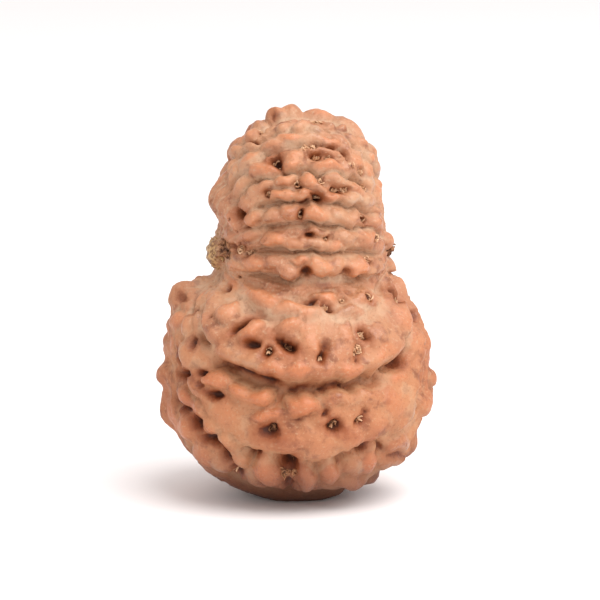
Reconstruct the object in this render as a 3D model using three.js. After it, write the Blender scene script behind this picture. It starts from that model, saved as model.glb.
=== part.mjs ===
// An eighteen mukhi rudraksha bead: one grown stone with eighteen grooves and knobbly
// segments between them. Millimetres, +Z up, photo side towards -Y.
// The grooves are meridians between two hubs. The hub axis lies parallel to X, so the bead
// stands on its side: a narrow lobe above the axis, a wide belly below it, and a small flat
// spot under the belly.
import * as THREE from "three";

// Sizes of the smooth stone.
const AXIS_HEIGHT = 21.3;   // hub axis above the ground
const LOBES = [             // centre x, y, z and radii x, y, z of the ellipsoids that make the stone
  [-0.2, 0.0, 9.4, 11.2, 11.0, 9.9],    // belly
  [-0.5, 0.0, 14.2, 10.4, 9.8, 6.2],    // shoulder of the belly
  [0.2, 0.0, 21.6, 7.0, 7.4, 4.6],      // neck
  [-0.1, 0.0, 25.9, 6.95, 7.3, 7.4],    // narrow upper lobe
];
const BLEND = 0.8;          // how softly the ellipsoids run into each other
const CENTRE_DOWN = 9.0;    // how far below the axis the meridians of the belly have their centre
const CENTRE_UP = 3.0;      // the same above it, for the upper lobe
const FLAT_RADIUS = 2.6;    // the worn spot that the bead stands on
const FLAT_LEFT = 0.8;      // how far its middle lies to the left of the middle of the bead

// The eighteen grooves: angle round the hub axis in degrees (0 front, 90 up, -90 down) near the
// left hub, half way and near the right hub, then the depth below the crest of the segments. The
// grooves stand close together above and wide apart behind.
const GROOVES = [
  [86, 84, 80, 0.6], [79, 73, 67, 0.55], [69, 65, 59, 0.65], [56, 50.5, 50, 0.75],
  [41.5, 37, 38, 0.8], [30, 26, 25, 0.85], [12, 10, 7, 0.9], [-11, -9.5, -12.6, 1.0],
  [-26.5, -24, -28, 0.45], [-48.5, -42, -45, 1.15], [-66, -59, -60, 0.85], [-80, -72, -71, 1.0],
  [-102, -100, -98, 1.0], [-130, -127, -131, 1.1], [-160, -156, -158, 1.1],
  [-190, -189, -185, 1.1], [-218, -221, -216, 1.0], [-249, -247, -251, 0.9],
];
const COUNT = GROOVES.length;
const WANDER = 0.6;         // degrees that a groove strays to either side
const GROOVE_SHARE = 0.6;   // share of a half segment that slopes down to the groove
const TROUGH_DEPTH = 0.14;  // shallow trough between the two rows of knobs of a segment
const CREASE = 0.1;         // narrow crease at the bottom of a groove
// how far the lower side of a segment hangs out over the next one, where it does
const DRAPE = { 6: 0.2, 7: 0.2, 8: 0.8, 9: 0.7, 10: 0.35 };
const WARP = 0.15;          // how far the outlines of knobs and pits stray from an ellipse
const SUNK = 1.0;           // how deep the ball of a knob sits in the stone
const FILLET = 0.35;        // soft corner where a knob meets the stone

// Knobs, the rounded lumps on the segments: segment, share of the way from the left to the right
// hub, place across (1 at the upper groove, -1 at the lower), half length, half width, height, and
// tilt in degrees.
const KNOBS = [
  // crown
  [17, 0.485, -0.5, 0.8, 0.85, 0.77, 0], [17, 0.44, -0.45, 0.75, 0.8, 0.72, 0],
  [17, 0.395, -0.6, 0.7, 0.75, 0.61, 0], [17, 0.345, -0.7, 0.7, 0.7, 0.59, 0],
  [17, 0.55, -0.5, 0.9, 0.9, 0.42, 0], [17, 0.603, -0.6, 0.95, 0.95, 0.50, 0],
  [17, 0.65, -0.8, 1.0, 0.9, 0.45, 0], [17, 0.7, -0.95, 0.8, 0.9, 0.42, 0],
  [17, 0.31, -0.95, 0.85, 0.6, 0.59, -40], [0, 0.362, 0.72, 0.8, 0.55, 0.68, -50],
  [1, 0.35, 0.95, 0.95, 0.45, 0.47, -40], [0, 0.443, -0.45, 0.6, 0.65, 0.36, 0],
  [0, 0.487, -0.6, 0.85, 0.75, 0.54, 0], [0, 0.27, 0.25, 0.5, 0.8, 0.44, 0],
  [0, 0.737, 0.5, 0.9, 0.8, 0.39, 0], [0, 0.62, -0.2, 0.7, 0.45, 0.38, 10],
  [0, 0.565, 0.0, 0.6, 0.45, 0.38, -10], [0, 0.6, 0.6, 0.55, 0.5, 0.40, 0],
  [0, 0.655, 0.35, 0.55, 0.5, 0.42, 20], [0, 0.69, -0.3, 0.6, 0.5, 0.40, 30],
  [17, 0.58, 0.1, 0.6, 0.6, 0.36, 0], [17, 0.66, 0.0, 0.7, 0.6, 0.40, 10],
  // between grooves 2 and 3: a thin smooth ridge
  [1, 0.523, 0.72, 0.9, 0.55, 0.30, -12], [1, 0.58, 0.6, 0.9, 0.7, 0.31, 0],
  [1, 0.403, -0.35, 1.15, 0.55, 0.36, -12], [1, 0.453, -0.4, 1.2, 0.55, 0.38, -3],
  [1, 0.505, -0.35, 1.35, 0.55, 0.42, -5], [1, 0.553, -0.55, 1.1, 0.5, 0.34, 0],
  [1, 0.6, -0.5, 0.9, 0.5, 0.34, -8], [1, 0.335, -0.5, 0.95, 0.6, 0.34, -20],
  [1, 0.68, -0.8, 0.7, 0.8, 0.30, 0], [1, 0.27, 0.1, 1.0, 0.5, 0.26, 0],
  [1, 0.64, 0.35, 0.7, 0.45, 0.38, 15], [1, 0.7, 0.1, 0.5, 0.55, 0.42, 20],
  [1, 0.755, 0.4, 0.6, 0.55, 0.42, 0], [2, 0.74, 0.7, 0.6, 0.5, 0.42, 10],
  // between grooves 3 and 4
  [2, 0.357, -0.3, 1.35, 0.72, 0.64, -25], [1, 0.318, -0.85, 0.9, 0.65, 0.30, -30],
  [2, 0.447, 0.05, 0.95, 0.6, 0.46, 0], [2, 0.437, -0.52, 0.9, 0.52, 0.61, 0],
  [2, 0.497, 0.38, 0.85, 0.34, 0.24, -8], [2, 0.54, 0.42, 1.05, 0.38, 0.32, 0],
  [2, 0.533, -0.55, 1.55, 0.6, 0.77, 0], [2, 0.592, -0.45, 1.05, 0.6, 0.50, -8],
  [2, 0.63, 0.9, 0.8, 0.7, 0.36, 0], [2, 0.695, -0.05, 0.9, 0.8, 0.37, 4],
  [2, 0.27, -0.2, 0.9, 0.7, 0.46, 10], [2, 0.76, 0.0, 0.9, 0.7, 0.36, 0],
  // between grooves 4 and 5
  [3, 0.343, 0.35, 1.0, 0.44, 0.47, 5], [3, 0.41, 0.52, 1.0, 0.55, 0.66, 3],
  [3, 0.477, 0.46, 0.8, 0.68, 0.73, -30], [3, 0.505, -0.1, 0.85, 0.46, 0.55, -38],
  [3, 0.563, 0.48, 1.4, 0.56, 0.55, -6], [3, 0.628, 0.28, 1.1, 0.55, 0.51, -5],
  [3, 0.4, -0.42, 1.35, 0.46, 0.66, 4], [3, 0.457, -0.45, 1.1, 0.5, 0.72, -4],
  [3, 0.547, -0.72, 0.9, 0.42, 0.55, -4], [3, 0.61, -0.55, 1.55, 0.55, 0.66, 8],
  [3, 0.303, 0.3, 0.8, 0.55, 0.40, 3], [3, 0.268, -0.1, 1.0, 0.64, 0.44, 0],
  [3, 0.69, 0.05, 1.3, 0.75, 0.47, 5], [3, 0.76, -0.2, 1.1, 0.4, 0.49, 15],
  // between grooves 5 and 6
  [4, 0.28, 0.18, 1.1, 0.72, 0.69, -10], [4, 0.353, 0.1, 0.95, 0.68, 0.69, 0],
  [4, 0.408, 0.15, 0.85, 0.75, 0.80, -4], [4, 0.493, 0.0, 1.3, 0.75, 0.72, 0],
  [4, 0.567, -0.12, 1.35, 0.72, 0.65, 3], [4, 0.632, -0.2, 1.1, 0.68, 0.53, 0],
  [4, 0.755, 0.3, 1.2, 0.72, 0.80, 10], [3, 0.187, -0.35, 0.7, 1.1, 0.49, -20],
  [4, 0.133, 0.62, 0.8, 0.68, 0.46, -20], [4, 0.9, -0.8, 1.0, 0.7, 0.80, 0],
  // between grooves 6 and 7
  [5, 0.237, 0.6, 1.5, 0.5, 0.41, -6], [5, 0.353, -0.05, 1.35, 0.7, 0.82, -2],
  [5, 0.412, -0.42, 1.2, 0.55, 0.57, 3], [5, 0.497, 0.46, 0.9, 0.46, 0.57, 0],
  [5, 0.488, -0.35, 1.5, 0.55, 0.57, 0], [5, 0.593, 0.05, 1.3, 0.76, 0.72, 2],
  [5, 0.705, 0.18, 1.5, 0.76, 0.59, 6], [5, 0.56, -0.6, 0.9, 0.45, 0.46, 0],
  [5, 0.79, -0.1, 1.1, 0.75, 0.46, 0],
  // between grooves 7 and 8
  [6, 0.268, 0.05, 1.4, 0.68, 0.57, 2], [6, 0.34, 0.22, 1.15, 0.6, 0.57, 0],
  [6, 0.39, -0.38, 1.2, 0.7, 0.76, -8], [6, 0.5, -0.02, 1.4, 0.88, 0.92, -10],
  [6, 0.565, 0.05, 0.85, 0.78, 0.49, 0], [6, 0.65, 0.02, 1.6, 0.78, 0.88, -6],
  [6, 0.77, -0.6, 1.4, 0.7, 0.63, -12], [6, 0.153, -0.7, 1.1, 0.6, 0.36, 0],
  [6, 0.44, 0.5, 0.9, 0.4, 0.35, 0],
  // between grooves 8 and 9
  [7, 0.21, -0.9, 1.15, 0.52, 0.40, 15], [7, 0.295, -0.7, 2.6, 0.85, 0.60, 11],
  [7, 0.415, -0.96, 2.3, 0.85, 0.74, -9], [7, 0.36, -0.2, 0.95, 0.46, 0.16, 5],
  [7, 0.44, 0.1, 1.35, 0.5, 0.16, 0], [7, 0.517, -0.58, 1.3, 0.85, 0.62, 3],
  [7, 0.53, 0.4, 1.1, 0.4, 0.14, -2], [7, 0.6, -0.95, 1.8, 0.6, 0.46, -7],
  [7, 0.635, -0.25, 1.0, 0.65, 0.18, -10], [7, 0.69, -0.86, 1.9, 1.15, 0.62, -23],
  [8, 0.777, 0.38, 1.1, 0.6, 0.20, -25], [7, 0.77, -0.2, 1.0, 0.8, 0.25, 0],
  // between grooves 9 and 10: fingers that point up
  [8, 0.233, 0.27, 1.15, 1.15, 0.85, 60], [8, 0.32, 0.38, 1.15, 0.82, 0.85, 58],
  [8, 0.413, 0.62, 1.2, 0.62, 0.70, 0], [8, 0.46, 0.48, 1.0, 0.78, 0.40, 0],
  [8, 0.467, 0.12, 0.85, 0.95, 0.42, 0], [8, 0.553, 0.38, 0.78, 1.05, 0.45, -4],
  [8, 0.64, 0.08, 1.25, 1.1, 0.54, -25], [8, 0.645, -0.45, 1.4, 0.85, 0.29, -5],
  [8, 0.51, 0.52, 0.78, 0.7, 0.14, 0], [8, 0.397, -0.12, 0.72, 0.34, 0.31, -30],
  [8, 0.535, -0.1, 0.9, 0.85, 0.20, -6],
  // the same: the lip they stand on, which hangs over groove 10
  [8, 0.293, -0.52, 1.3, 0.62, 0.47, 20], [8, 0.34, -0.46, 1.15, 0.62, 0.47, 2],
  [8, 0.39, -0.52, 1.2, 0.7, 0.51, -3], [8, 0.44, -0.52, 1.2, 0.75, 0.47, 0],
  [8, 0.493, -0.58, 1.3, 0.66, 0.41, -2], [8, 0.55, -0.68, 1.3, 0.66, 0.41, -9],
  [8, 0.61, -0.7, 1.4, 0.76, 0.37, -6], [8, 0.673, -0.62, 1.4, 0.84, 0.35, 6],
  // shoulders right and left
  [8, 0.757, -0.35, 1.4, 1.3, 0.29, 60], [9, 0.777, 0.1, 1.5, 1.3, 0.27, 62],
  [9, 0.9, -0.22, 1.0, 1.6, 0.31, 16], [9, 0.667, 0.48, 1.35, 0.46, 0.29, -38],
  [10, 0.123, -0.55, 1.5, 0.8, 0.55, -79], [11, 0.067, -0.22, 0.7, 0.9, 0.22, -57],
  [8, 0.12, -0.95, 1.15, 0.52, 0.31, 68], [8, 0.183, -0.76, 0.72, 0.78, 0.27, 75],
  [8, 0.223, -0.5, 1.05, 0.42, 0.22, 22], [9, 0.2, -0.55, 1.6, 1.05, 0.51, 66],
  [9, 0.243, 0.55, 0.9, 0.85, 0.25, 50], [11, 0.173, -0.5, 1.5, 0.9, 0.31, -71],
  // between grooves 10 and 11: a row of smooth round knobs
  [9, 0.288, 0.46, 1.35, 0.78, 1.10, 31], [9, 0.338, 0.62, 1.5, 0.66, 1.05, 6],
  [9, 0.382, 0.68, 1.2, 0.74, 1.15, 2], [9, 0.457, 0.63, 1.5, 0.92, 1.00, -3],
  [9, 0.52, 0.78, 1.4, 0.68, 0.58, -8], [9, 0.573, 0.62, 1.5, 0.68, 0.49, -14],
  [9, 0.395, 0.3, 1.45, 0.5, 0.60, 14],
  // the same: the band below them and its stepped lower edge
  [9, 0.253, -0.65, 1.15, 0.62, 0.35, 45], [10, 0.252, 0.36, 1.25, 0.7, 0.62, 48],
  [9, 0.283, -0.98, 1.15, 0.76, 0.60, 14], [9, 0.318, -0.86, 1.1, 0.8, 0.62, 8],
  [9, 0.352, -0.9, 1.05, 0.8, 0.62, -16], [10, 0.381, 0.62, 1.1, 0.72, 0.62, -44],
  [9, 0.33, -0.15, 1.15, 1.15, 0.20, 0], [9, 0.45, -0.25, 1.85, 0.92, 0.26, -3],
  [9, 0.493, -0.45, 1.35, 0.86, 0.26, -5], [9, 0.54, -0.35, 1.2, 0.86, 0.26, 3],
  [9, 0.63, 0.02, 1.4, 1.35, 0.29, -15], [9, 0.653, -0.72, 1.4, 1.5, 0.29, -22],
  [9, 0.59, -0.28, 1.2, 0.82, 0.22, -14], [10, 0.63, 0.55, 1.9, 0.95, 0.75, -45],
  // between grooves 11 and 12: lobes that hang down over the underside
  [10, 0.408, -0.12, 1.1, 0.66, 0.50, -62],
  [10, 0.29, -0.3, 1.45, 1.1, 0.66, 78], [10, 0.333, -0.36, 1.2, 1.4, 0.66, 10],
  [10, 0.36, -0.1, 1.5, 1.0, 0.66, 30], [10, 0.42, 0.42, 1.2, 1.75, 0.95, 15],
  [10, 0.481, 0.3, 0.85, 1.8, 0.95, 7],
  [10, 0.514, 0.4, 0.95, 1.35, 0.66, -7], [10, 0.547, 0.55, 1.15, 1.2, 0.55, -5],
  [10, 0.575, 0.38, 0.85, 1.45, 0.52, -4], [10, 0.625, -0.4, 2.1, 1.0, 0.60, -44],
  [10, 0.547, -0.32, 1.55, 0.8, 0.70, -20], [9, 0.49, -0.82, 1.2, 0.8, 0.20, -5],
  [10, 0.713, -0.32, 1.4, 1.0, 0.65, -60],
  // underside
  [11, 0.27, 0.4, 1.6, 1.1, 0.31, 0], [11, 0.36, 0.5, 1.5, 1.1, 0.31, 0],
  [11, 0.585, 0.6, 1.5, 1.0, 0.28, 0], [11, 0.3, -0.4, 1.6, 1.1, 0.25, 0],
];

// Broad swellings and dents: x, y, z, half height, half width, how far each stands out.
const PADS = [
  [-6.3, -0.6, 26.2, 2.0, 3.4, 0.75],    // smooth pad on the left of the upper lobe
  [-6.2, 1.2, 28.7, 1.5, 3.2, -0.7],     // dents above and below it
  [-6.6, 1.2, 24.2, 1.1, 2.8, -0.55],
  [-4.9, 1.0, 31.8, 1.1, 2.5, -0.4],
  [-1.6, 0.0, 33.0, 2.0, 3.0, 0.25],     // crown
  [3.8, 0.0, 32.2, 1.8, 2.6, 0.3],
  [5.1, -1.2, 29.6, 3.0, 3.0, 0.45],     // upper right
  [-9.6, 0.6, 17.35, 2.0, 3.2, 1.7],     // left shoulder
  [-8.5, 0.8, 18.9, 1.1, 2.4, 0.9],
  [-10.2, 0.6, 15.2, 1.9, 2.8, 0.6],
  [-10.7, 1.4, 13.0, 1.5, 2.4, 0.35],
  [-11.1, 1.6, 10.3, 2.1, 2.6, 0.85],
  [-11.0, 1.6, 7.5, 2.2, 2.6, 0.9],
  [7.9, -1.4, 18.9, 2.2, 3.2, 0.9],      // right shoulder
  [8.8, -1.6, 16.6, 2.6, 3.4, 0.3],
  [10.1, -2.0, 13.4, 2.0, 2.4, 0.6],
  [10.5, -2.2, 8.6, 1.7, 2.2, 0.6],
  [8.8, -2.2, 4.4, 1.7, 2.4, 0.75],      // lobe low on the right
  [6.8, -1.5, 1.8, 1.5, 3.0, -1.3],      // dent below it
  [-0.2, -8.6, 17.0, 1.7, 6.5, 0.4],     // front, where the neck widens
  [-9.4, -5.2, 6.9, 1.6, 2.6, 0.5],      // rope low on the left
  [4.6, -2.2, 0.8, 2.4, 2.4, -0.8],      // hollow of the underside on the right
  [3.4, -5.0, 0.9, 1.8, 2.6, -0.5],
];

// Small lumps, placed the same way.
const STUBS = [
  [-6.8, 0.2, 21.5, 1.55, 1.5, 1.1],     // plug of fibres that closes the left hub
  [7.4, -0.6, 20.1, 1.0, 1.5, 1.0],      // lump at the right hub
  [-7.3, 0.8, 19.6, 1.0, 1.3, 0.45],     // small lump below the plug
  [10.6, -2.4, 10.2, 0.85, 0.95, 0.85],  // ball that stands out on the right
];

// Pits and holes: segment, share along, place across, half length, half width, depth, tilt in degrees
const PITS = [
  // crown
  [0, 0.393, 0.48, 0.36, 0.36, 0.5, 0], [0, 0.36, -0.52, 0.56, 0.22, 0.7, -50],
  [17, 0.437, -0.65, 0.36, 0.4, 0.5, 0], [0, 0.53, 0.48, 0.58, 0.5, 0.42, 15],
  [0, 0.507, -0.15, 0.5, 0.24, 0.3, -20],
  // the fibrous groove between the second ridge and the third
  [2, 0.55, 0.82, 0.5, 0.3, 0.8, 4], [2, 0.587, 0.86, 0.65, 0.27, 0.6, 3],
  [2, 0.503, 0.66, 0.52, 0.32, 0.6, -3], [2, 0.527, 0.82, 0.28, 0.2, 0.6, 0],
  [2, 0.48, 0.6, 0.42, 0.18, 0.36, -8], [2, 0.598, 0.48, 0.22, 0.24, 0.4, 28],
  // upper lobe
  [2, 0.397, -0.05, 0.58, 0.8, 1.0, -8], [2, 0.507, 0.05, 0.74, 0.35, 0.66, 2],
  [2, 0.543, 0.02, 0.55, 0.18, 0.46, 6], [2, 0.553, -0.18, 0.38, 0.15, 0.36, 12],
  [2, 0.603, -0.12, 0.26, 0.36, 0.5, 43], [2, 0.653, 0.32, 0.46, 0.4, 0.42, 37],
  [1, 0.713, 0.45, 0.7, 0.4, 0.4, 49],
  [3, 0.443, 0.25, 0.27, 0.36, 0.5, 0], [3, 0.453, 0.02, 0.2, 0.2, 0.5, 0],
  [3, 0.513, 0.35, 0.28, 0.26, 0.36, 0], [3, 0.557, -0.22, 0.58, 0.35, 0.8, 6],
  [3, 0.59, -0.02, 0.66, 0.3, 0.6, 13], [3, 0.497, -0.75, 0.7, 0.35, 1.0, -18],
  [3, 0.457, -0.95, 0.66, 0.18, 0.5, -6], [3, 0.35, -0.15, 0.46, 0.5, 0.56, -12],
  [3, 0.67, 0.88, 0.7, 0.4, 0.36, 11],
  // neck
  [3, 0.24, -0.58, 0.62, 0.56, 1.2, -34], [4, 0.443, -0.18, 0.3, 0.5, 0.9, 0],
  [4, 0.68, -0.05, 0.6, 0.4, 0.7, 10], [4, 0.3, -0.32, 0.38, 0.26, 0.26, -12],
  [4, 0.247, -0.38, 0.55, 0.18, 0.42, -22], [5, 0.47, 0.22, 0.47, 0.28, 0.7, 2],
  [5, 0.527, -0.05, 0.26, 0.23, 0.6, 0], [5, 0.743, 0.38, 0.45, 0.3, 0.36, 8],
  [5, 0.313, -0.12, 0.24, 0.22, 0.24, 0], [5, 0.183, -0.65, 1.1, 0.42, 0.6, -4],
  [5, 0.15, 0.08, 0.55, 0.34, 0.42, -12], [6, 0.223, 0.82, 0.55, 0.34, 0.42, 0],
  // shoulder
  [6, 0.453, -0.35, 0.72, 0.42, 0.86, -46], [6, 0.6, -0.28, 0.4, 0.45, 0.46, 0],
  [6, 0.7, 0.28, 0.8, 0.32, 0.66, -8], [6, 0.06, -0.6, 0.5, 0.4, 0.6, 0],
  [7, 0.473, -0.7, 0.72, 0.27, 0.8, -4], [7, 0.517, -0.82, 0.6, 0.32, 0.8, -10],
  [7, 0.69, -0.85, 0.6, 0.52, 0.7, -31], [7, 0.587, -0.55, 0.32, 0.22, 0.46, -4],
  [7, 0.617, -0.28, 0.44, 0.38, 0.3, -8], [8, 0.82, -0.38, 0.9, 0.6, 0.95, -72],
  [8, 0.143, 0.25, 0.44, 0.7, 0.5, 68],
  // between the fingers
  [8, 0.283, 0.32, 1.25, 0.42, 1.1, 74], [8, 0.333, 0.02, 0.8, 0.52, 1.0, 5],
  [8, 0.37, -0.12, 0.5, 0.48, 0.9, 7], [8, 0.413, 0.08, 1.06, 0.53, 1.6, -35],
  [8, 0.487, -0.22, 0.4, 0.52, 0.95, -2], [8, 0.497, 0.05, 0.68, 0.52, 0.42, 0],
  [8, 0.603, 0.25, 0.48, 0.62, 0.8, -15], [8, 0.613, 0.12, 0.3, 0.2, 0.5, -17],
  [8, 0.577, -0.18, 0.56, 0.76, 0.42, -13], [8, 0.567, -0.45, 0.22, 0.26, 0.5, 0],
  [9, 0.783, -0.65, 0.3, 0.24, 0.42, -69],
  // under the lip
  [8, 0.323, -0.82, 1.7, 0.32, 0.9, 12], [8, 0.38, -0.84, 1.2, 0.3, 0.9, -10],
  [8, 0.443, -0.95, 1.4, 0.22, 0.5, 3], [8, 0.517, -0.95, 1.9, 0.22, 0.5, -7],
  // left shoulder
  [11, 0.093, 0.95, 0.8, 0.6, 0.56, -77], [9, 0.127, -0.18, 0.58, 0.7, 0.36, 84],
  [8, 0.2, -0.35, 0.22, 0.2, 0.42, 0], [10, 0.173, -0.45, 0.54, 0.7, 0.5, 79],
  [10, 0.22, 0.68, 1.5, 0.42, 1.5, 72], [9, 0.253, 0.05, 0.85, 0.3, 0.85, 48],
  [9, 0.263, -0.28, 0.52, 0.54, 0.5, 0], [9, 0.3, 0.06, 1.1, 0.32, 0.95, 27],
  // broad band
  [9, 0.41, -0.08, 1.1, 0.8, 0.9, 6], [9, 0.413, 0.02, 0.42, 0.44, 0.6, 0],
  [9, 0.513, 0.05, 1.0, 0.64, 1.0, -32], [9, 0.497, 0.38, 0.42, 0.32, 0.7, 14],
  [9, 0.557, 0.02, 0.66, 0.48, 0.6, -17], [9, 0.57, 0.22, 0.42, 0.24, 0.7, -6],
  [9, 0.7, 0.78, 0.8, 0.95, 0.56, -60], [9, 0.73, -0.78, 0.8, 0.46, 0.56, -60],
  [9, 0.453, 0.28, 1.8, 0.27, 0.36, 0],
  // under the band's stepped edge
  [10, 0.26, -0.1, 1.15, 0.55, 1.0, 69], [10, 0.297, 0.55, 0.95, 0.5, 1.0, 6],
  [10, 0.33, 0.62, 1.3, 0.56, 1.25, 20], [10, 0.36, 0.55, 0.9, 0.45, 0.9, -20],
  [10, 0.38, 0.12, 0.85, 0.56, 0.6, -30], [11, 0.24, 0.75, 0.7, 0.8, 0.5, 0],
  // between the lobes below
  [10, 0.383, -0.38, 0.96, 0.66, 1.1, 22], [9, 0.4, -0.85, 0.54, 0.44, 0.86, 18],
  [10, 0.453, 0.82, 0.8, 0.9, 1.0, 0], [10, 0.457, -0.25, 0.5, 1.3, 0.7, 9],
  [9, 0.567, -0.82, 0.76, 0.7, 0.66, 28], [10, 0.597, 0.75, 0.78, 0.5, 0.36, -7],
  [10, 0.523, 0.72, 0.36, 0.34, 0.3, -10], [10, 0.627, -0.12, 1.5, 0.28, 0.5, -50],
  [11, 0.62, 0.05, 2.2, 2.6, 1.3, 0],
];

const COLUMNS = [5, 5, 6, 7, 6, 6, 7, 7, 8, 8, 7, 9, 9, 9, 9, 9, 8, 8];   // per segment
const ROWS = 45;            // from hub to hub
const SEED = 18;

// Repeatable random numbers from 0 to 1.
function makeRandom(seed) {
  let state = seed >>> 0;
  return () => {
    state = (state + 0x6d2b79f5) >>> 0;
    let mixed = Math.imul(state ^ (state >>> 15), state | 1);
    mixed ^= mixed + Math.imul(mixed ^ (mixed >>> 7), mixed | 61);
    return ((mixed ^ (mixed >>> 14)) >>> 0) / 4294967296;
  };
}

const radians = (degrees) => (degrees * Math.PI) / 180;
const clamp01 = (value) => Math.min(1, Math.max(0, value));
const smooth = (value) => { const x = clamp01(value); return x * x * (3 - 2 * x); };
const sum = (a, b, scale = 1) => [a[0] + b[0] * scale, a[1] + b[1] * scale, a[2] + b[2] * scale];
const dot = (a, b) => a[0] * b[0] + a[1] * b[1] + a[2] * b[2];
const cross = (a, b) => [a[1] * b[2] - a[2] * b[1], a[2] * b[0] - a[0] * b[2], a[0] * b[1] - a[1] * b[0]];
const unit = (a) => { const n = Math.hypot(...a); return a.map((v) => v / n); };

// Rough distance of a point from the smooth stone, negative inside.
function field(p) {
  let total = 0;
  for (const [cx, cy, cz, rx, ry, rz] of LOBES) {
    const q = [(p[0] - cx) / rx, (p[1] - cy) / ry, (p[2] - cz) / rz];
    const k0 = Math.hypot(...q);
    const k1 = Math.max(Math.hypot(q[0] / rx, q[1] / ry, q[2] / rz), 1e-9);
    total += Math.exp(-(k0 * (k0 - 1)) / k1 / BLEND);
  }
  return -BLEND * Math.log(total);
}

// Where a ray from inside leaves the smooth stone.
function cast(origin, direction) {
  let near = 0, far = 40;
  for (let i = 0; i < 40; i++) {
    const middle = (near + far) / 2;
    if (field(sum(origin, direction, middle)) < 0) near = middle; else far = middle;
  }
  return sum(origin, direction, near);
}

function normalAt(p) {
  const e = 1e-3;
  const g = [0, 1, 2].map((i) => {
    const step = [0, 0, 0]; step[i] = e;
    return field(sum(p, step)) - field(sum(p, step, -1));
  });
  return unit(g);
}

const HUB_LEFT = cast([0, 0, AXIS_HEIGHT], [-1, 0, 0])[0];
const HUB_RIGHT = cast([0, 0, AXIS_HEIGHT], [1, 0, 0])[0];

// Point of the smooth stone at an angle round the hub axis (degrees) and a share along the meridian.
function surface(angle, share) {
  const phi = radians(angle);
  const out = [0, -Math.cos(phi), Math.sin(phi)];
  const away = CENTRE_DOWN * Math.max(0, -out[2]) ** 1.5 + CENTRE_UP * Math.max(0, out[2]) ** 2;
  const origin = sum([0, 0, AXIS_HEIGHT], out, away);
  const start = Math.PI + Math.atan2(away, -HUB_LEFT);
  const end = -Math.atan2(away, HUB_RIGHT);
  const turn = start + (end - start) * share;
  return cast(origin, sum([Math.cos(turn), 0, 0], out, Math.sin(turn)));
}

function grooveAngle(index, share) {
  const [left, middle, right] = GROOVES[index % COUNT];
  return middle + (left - middle) * smooth((0.5 - share) / 0.25)
    + (right - middle) * smooth((share - 0.5) / 0.25) - 360 * Math.floor(index / COUNT)
    + WANDER * Math.sin(23 * share + 2.1 * (index % COUNT)) * smooth(Math.min(share, 1 - share) / 0.2);
}

// Point in a segment: across is 1 at its upper groove and -1 at its lower one.
function inSegment(segment, share, across) {
  const upper = grooveAngle(segment, share), lower = grooveAngle(segment + 1, share);
  return surface(lower + ((upper - lower) * (across + 1)) / 2, share);
}

// A point pushed a little aside, so that nothing on the stone has a ruled outline.
function warped([x, y, z]) {
  return [
    x + WARP * Math.sin(2.3 * z + 1.1 * y + 0.4) + 0.4 * WARP * Math.sin(5.3 * y - 2.9 * z),
    y + WARP * Math.sin(2.1 * x - 1.3 * z + 1.9),
    z + WARP * Math.sin(2.6 * x + 1.2 * y + 2.7) + 0.4 * WARP * Math.sin(4.9 * x + 3.1 * z),
  ];
}

// A knob or pit with its own directions along and across on the stone.
function place([segment, share, across, length, width, height, tilt]) {
  const centre = inSegment(segment, share, across);
  const normal = normalAt(centre);
  const ahead = inSegment(segment, Math.min(share + 0.01, 0.999), across);
  const behind = inSegment(segment, Math.max(share - 0.01, 0.001), across);
  const along = unit(sum(ahead, behind, -1));
  const side = unit(cross(normal, along));
  const c = Math.cos(radians(tilt)), s = Math.sin(radians(tilt));
  const u = sum(along.map((v) => v * c), side, s);
  const v = sum(side.map((w) => w * c), along, -s);
  return { centre: warped(centre), u: u.map((w) => w / length), v: v.map((w) => w / width), height,
    reach: 2 * Math.max(length, width) };
}

function placePad([x, y, z, halfHeight, halfWidth, height]) {
  const centre = [x, y, z];
  const normal = normalAt(centre);
  const side = unit(cross([0, 0, 1], normal));
  const up = cross(normal, side);
  return { centre: warped(centre), u: up.map((w) => w / halfHeight), v: side.map((w) => w / halfWidth),
    height, reach: 2.2 * Math.max(halfHeight, halfWidth) };
}

// Half the distance between a segment's grooves.
function halfWidth(segment, share) {
  return Math.hypot(...sum(inSegment(segment, share, 1), inSegment(segment, share, -1), -1)) / 2;
}

// Knobs and pits near the hubs and where no photo shows the stone: two rows of knobs with a
// row of pits between them, smaller where the segment is narrow.
function hiddenFeatures() {
  const random = makeRandom(SEED);
  const knobs = [], pits = [];
  for (let segment = 0; segment < COUNT; segment++) {
    const seen = segment <= 11 ? [0.2, 0.8] : [0.5, 0.5];
    for (const row of [0.48, -0.48]) {
      let share = 0.08 + 0.03 * random();
      while (share < 0.92) {
        const size = Math.min(1, halfWidth(segment, share) / 2.4);
        const length = (1.1 + 0.7 * random()) * Math.sqrt(size), width = (0.75 + 0.45 * random()) * size;
        const lift = (0.3 + 0.4 * random()) * size;
        const lean = 24 * (random() - 0.5), drift = 0.16 * (random() - 0.5);
        if (share < seen[0] || share >= seen[1]) {
          knobs.push([segment, share, row + drift, length, width, lift, lean]);
        }
        share += (0.07 + 0.03 * random()) * Math.sqrt(size);
      }
    }
    let share = 0.16 + 0.06 * random();
    while (share < 0.88) {
      const size = (0.35 + 0.45 * random()) * Math.min(1, halfWidth(segment, share) / 2);
      const long = 1 + 0.8 * random(), drift = 0.5 * (random() - 0.5), lean = 60 * (random() - 0.5);
      if (share < seen[0] || share >= seen[1]) {
        pits.push([segment, share, drift, size * long, size, 0.2 + 1.1 * size, lean]);
      }
      share += 0.09 + 0.05 * random();
    }
  }
  return { knobs, pits };
}

const HIDDEN = hiddenFeatures();
const PLACED_KNOBS = [...[...KNOBS, ...HIDDEN.knobs].map(place), ...STUBS.map(placePad)];
const PLACED_PADS = PADS.map(placePad);
const PLACED_PITS = [...PITS, ...HIDDEN.pits].map(place);

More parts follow.
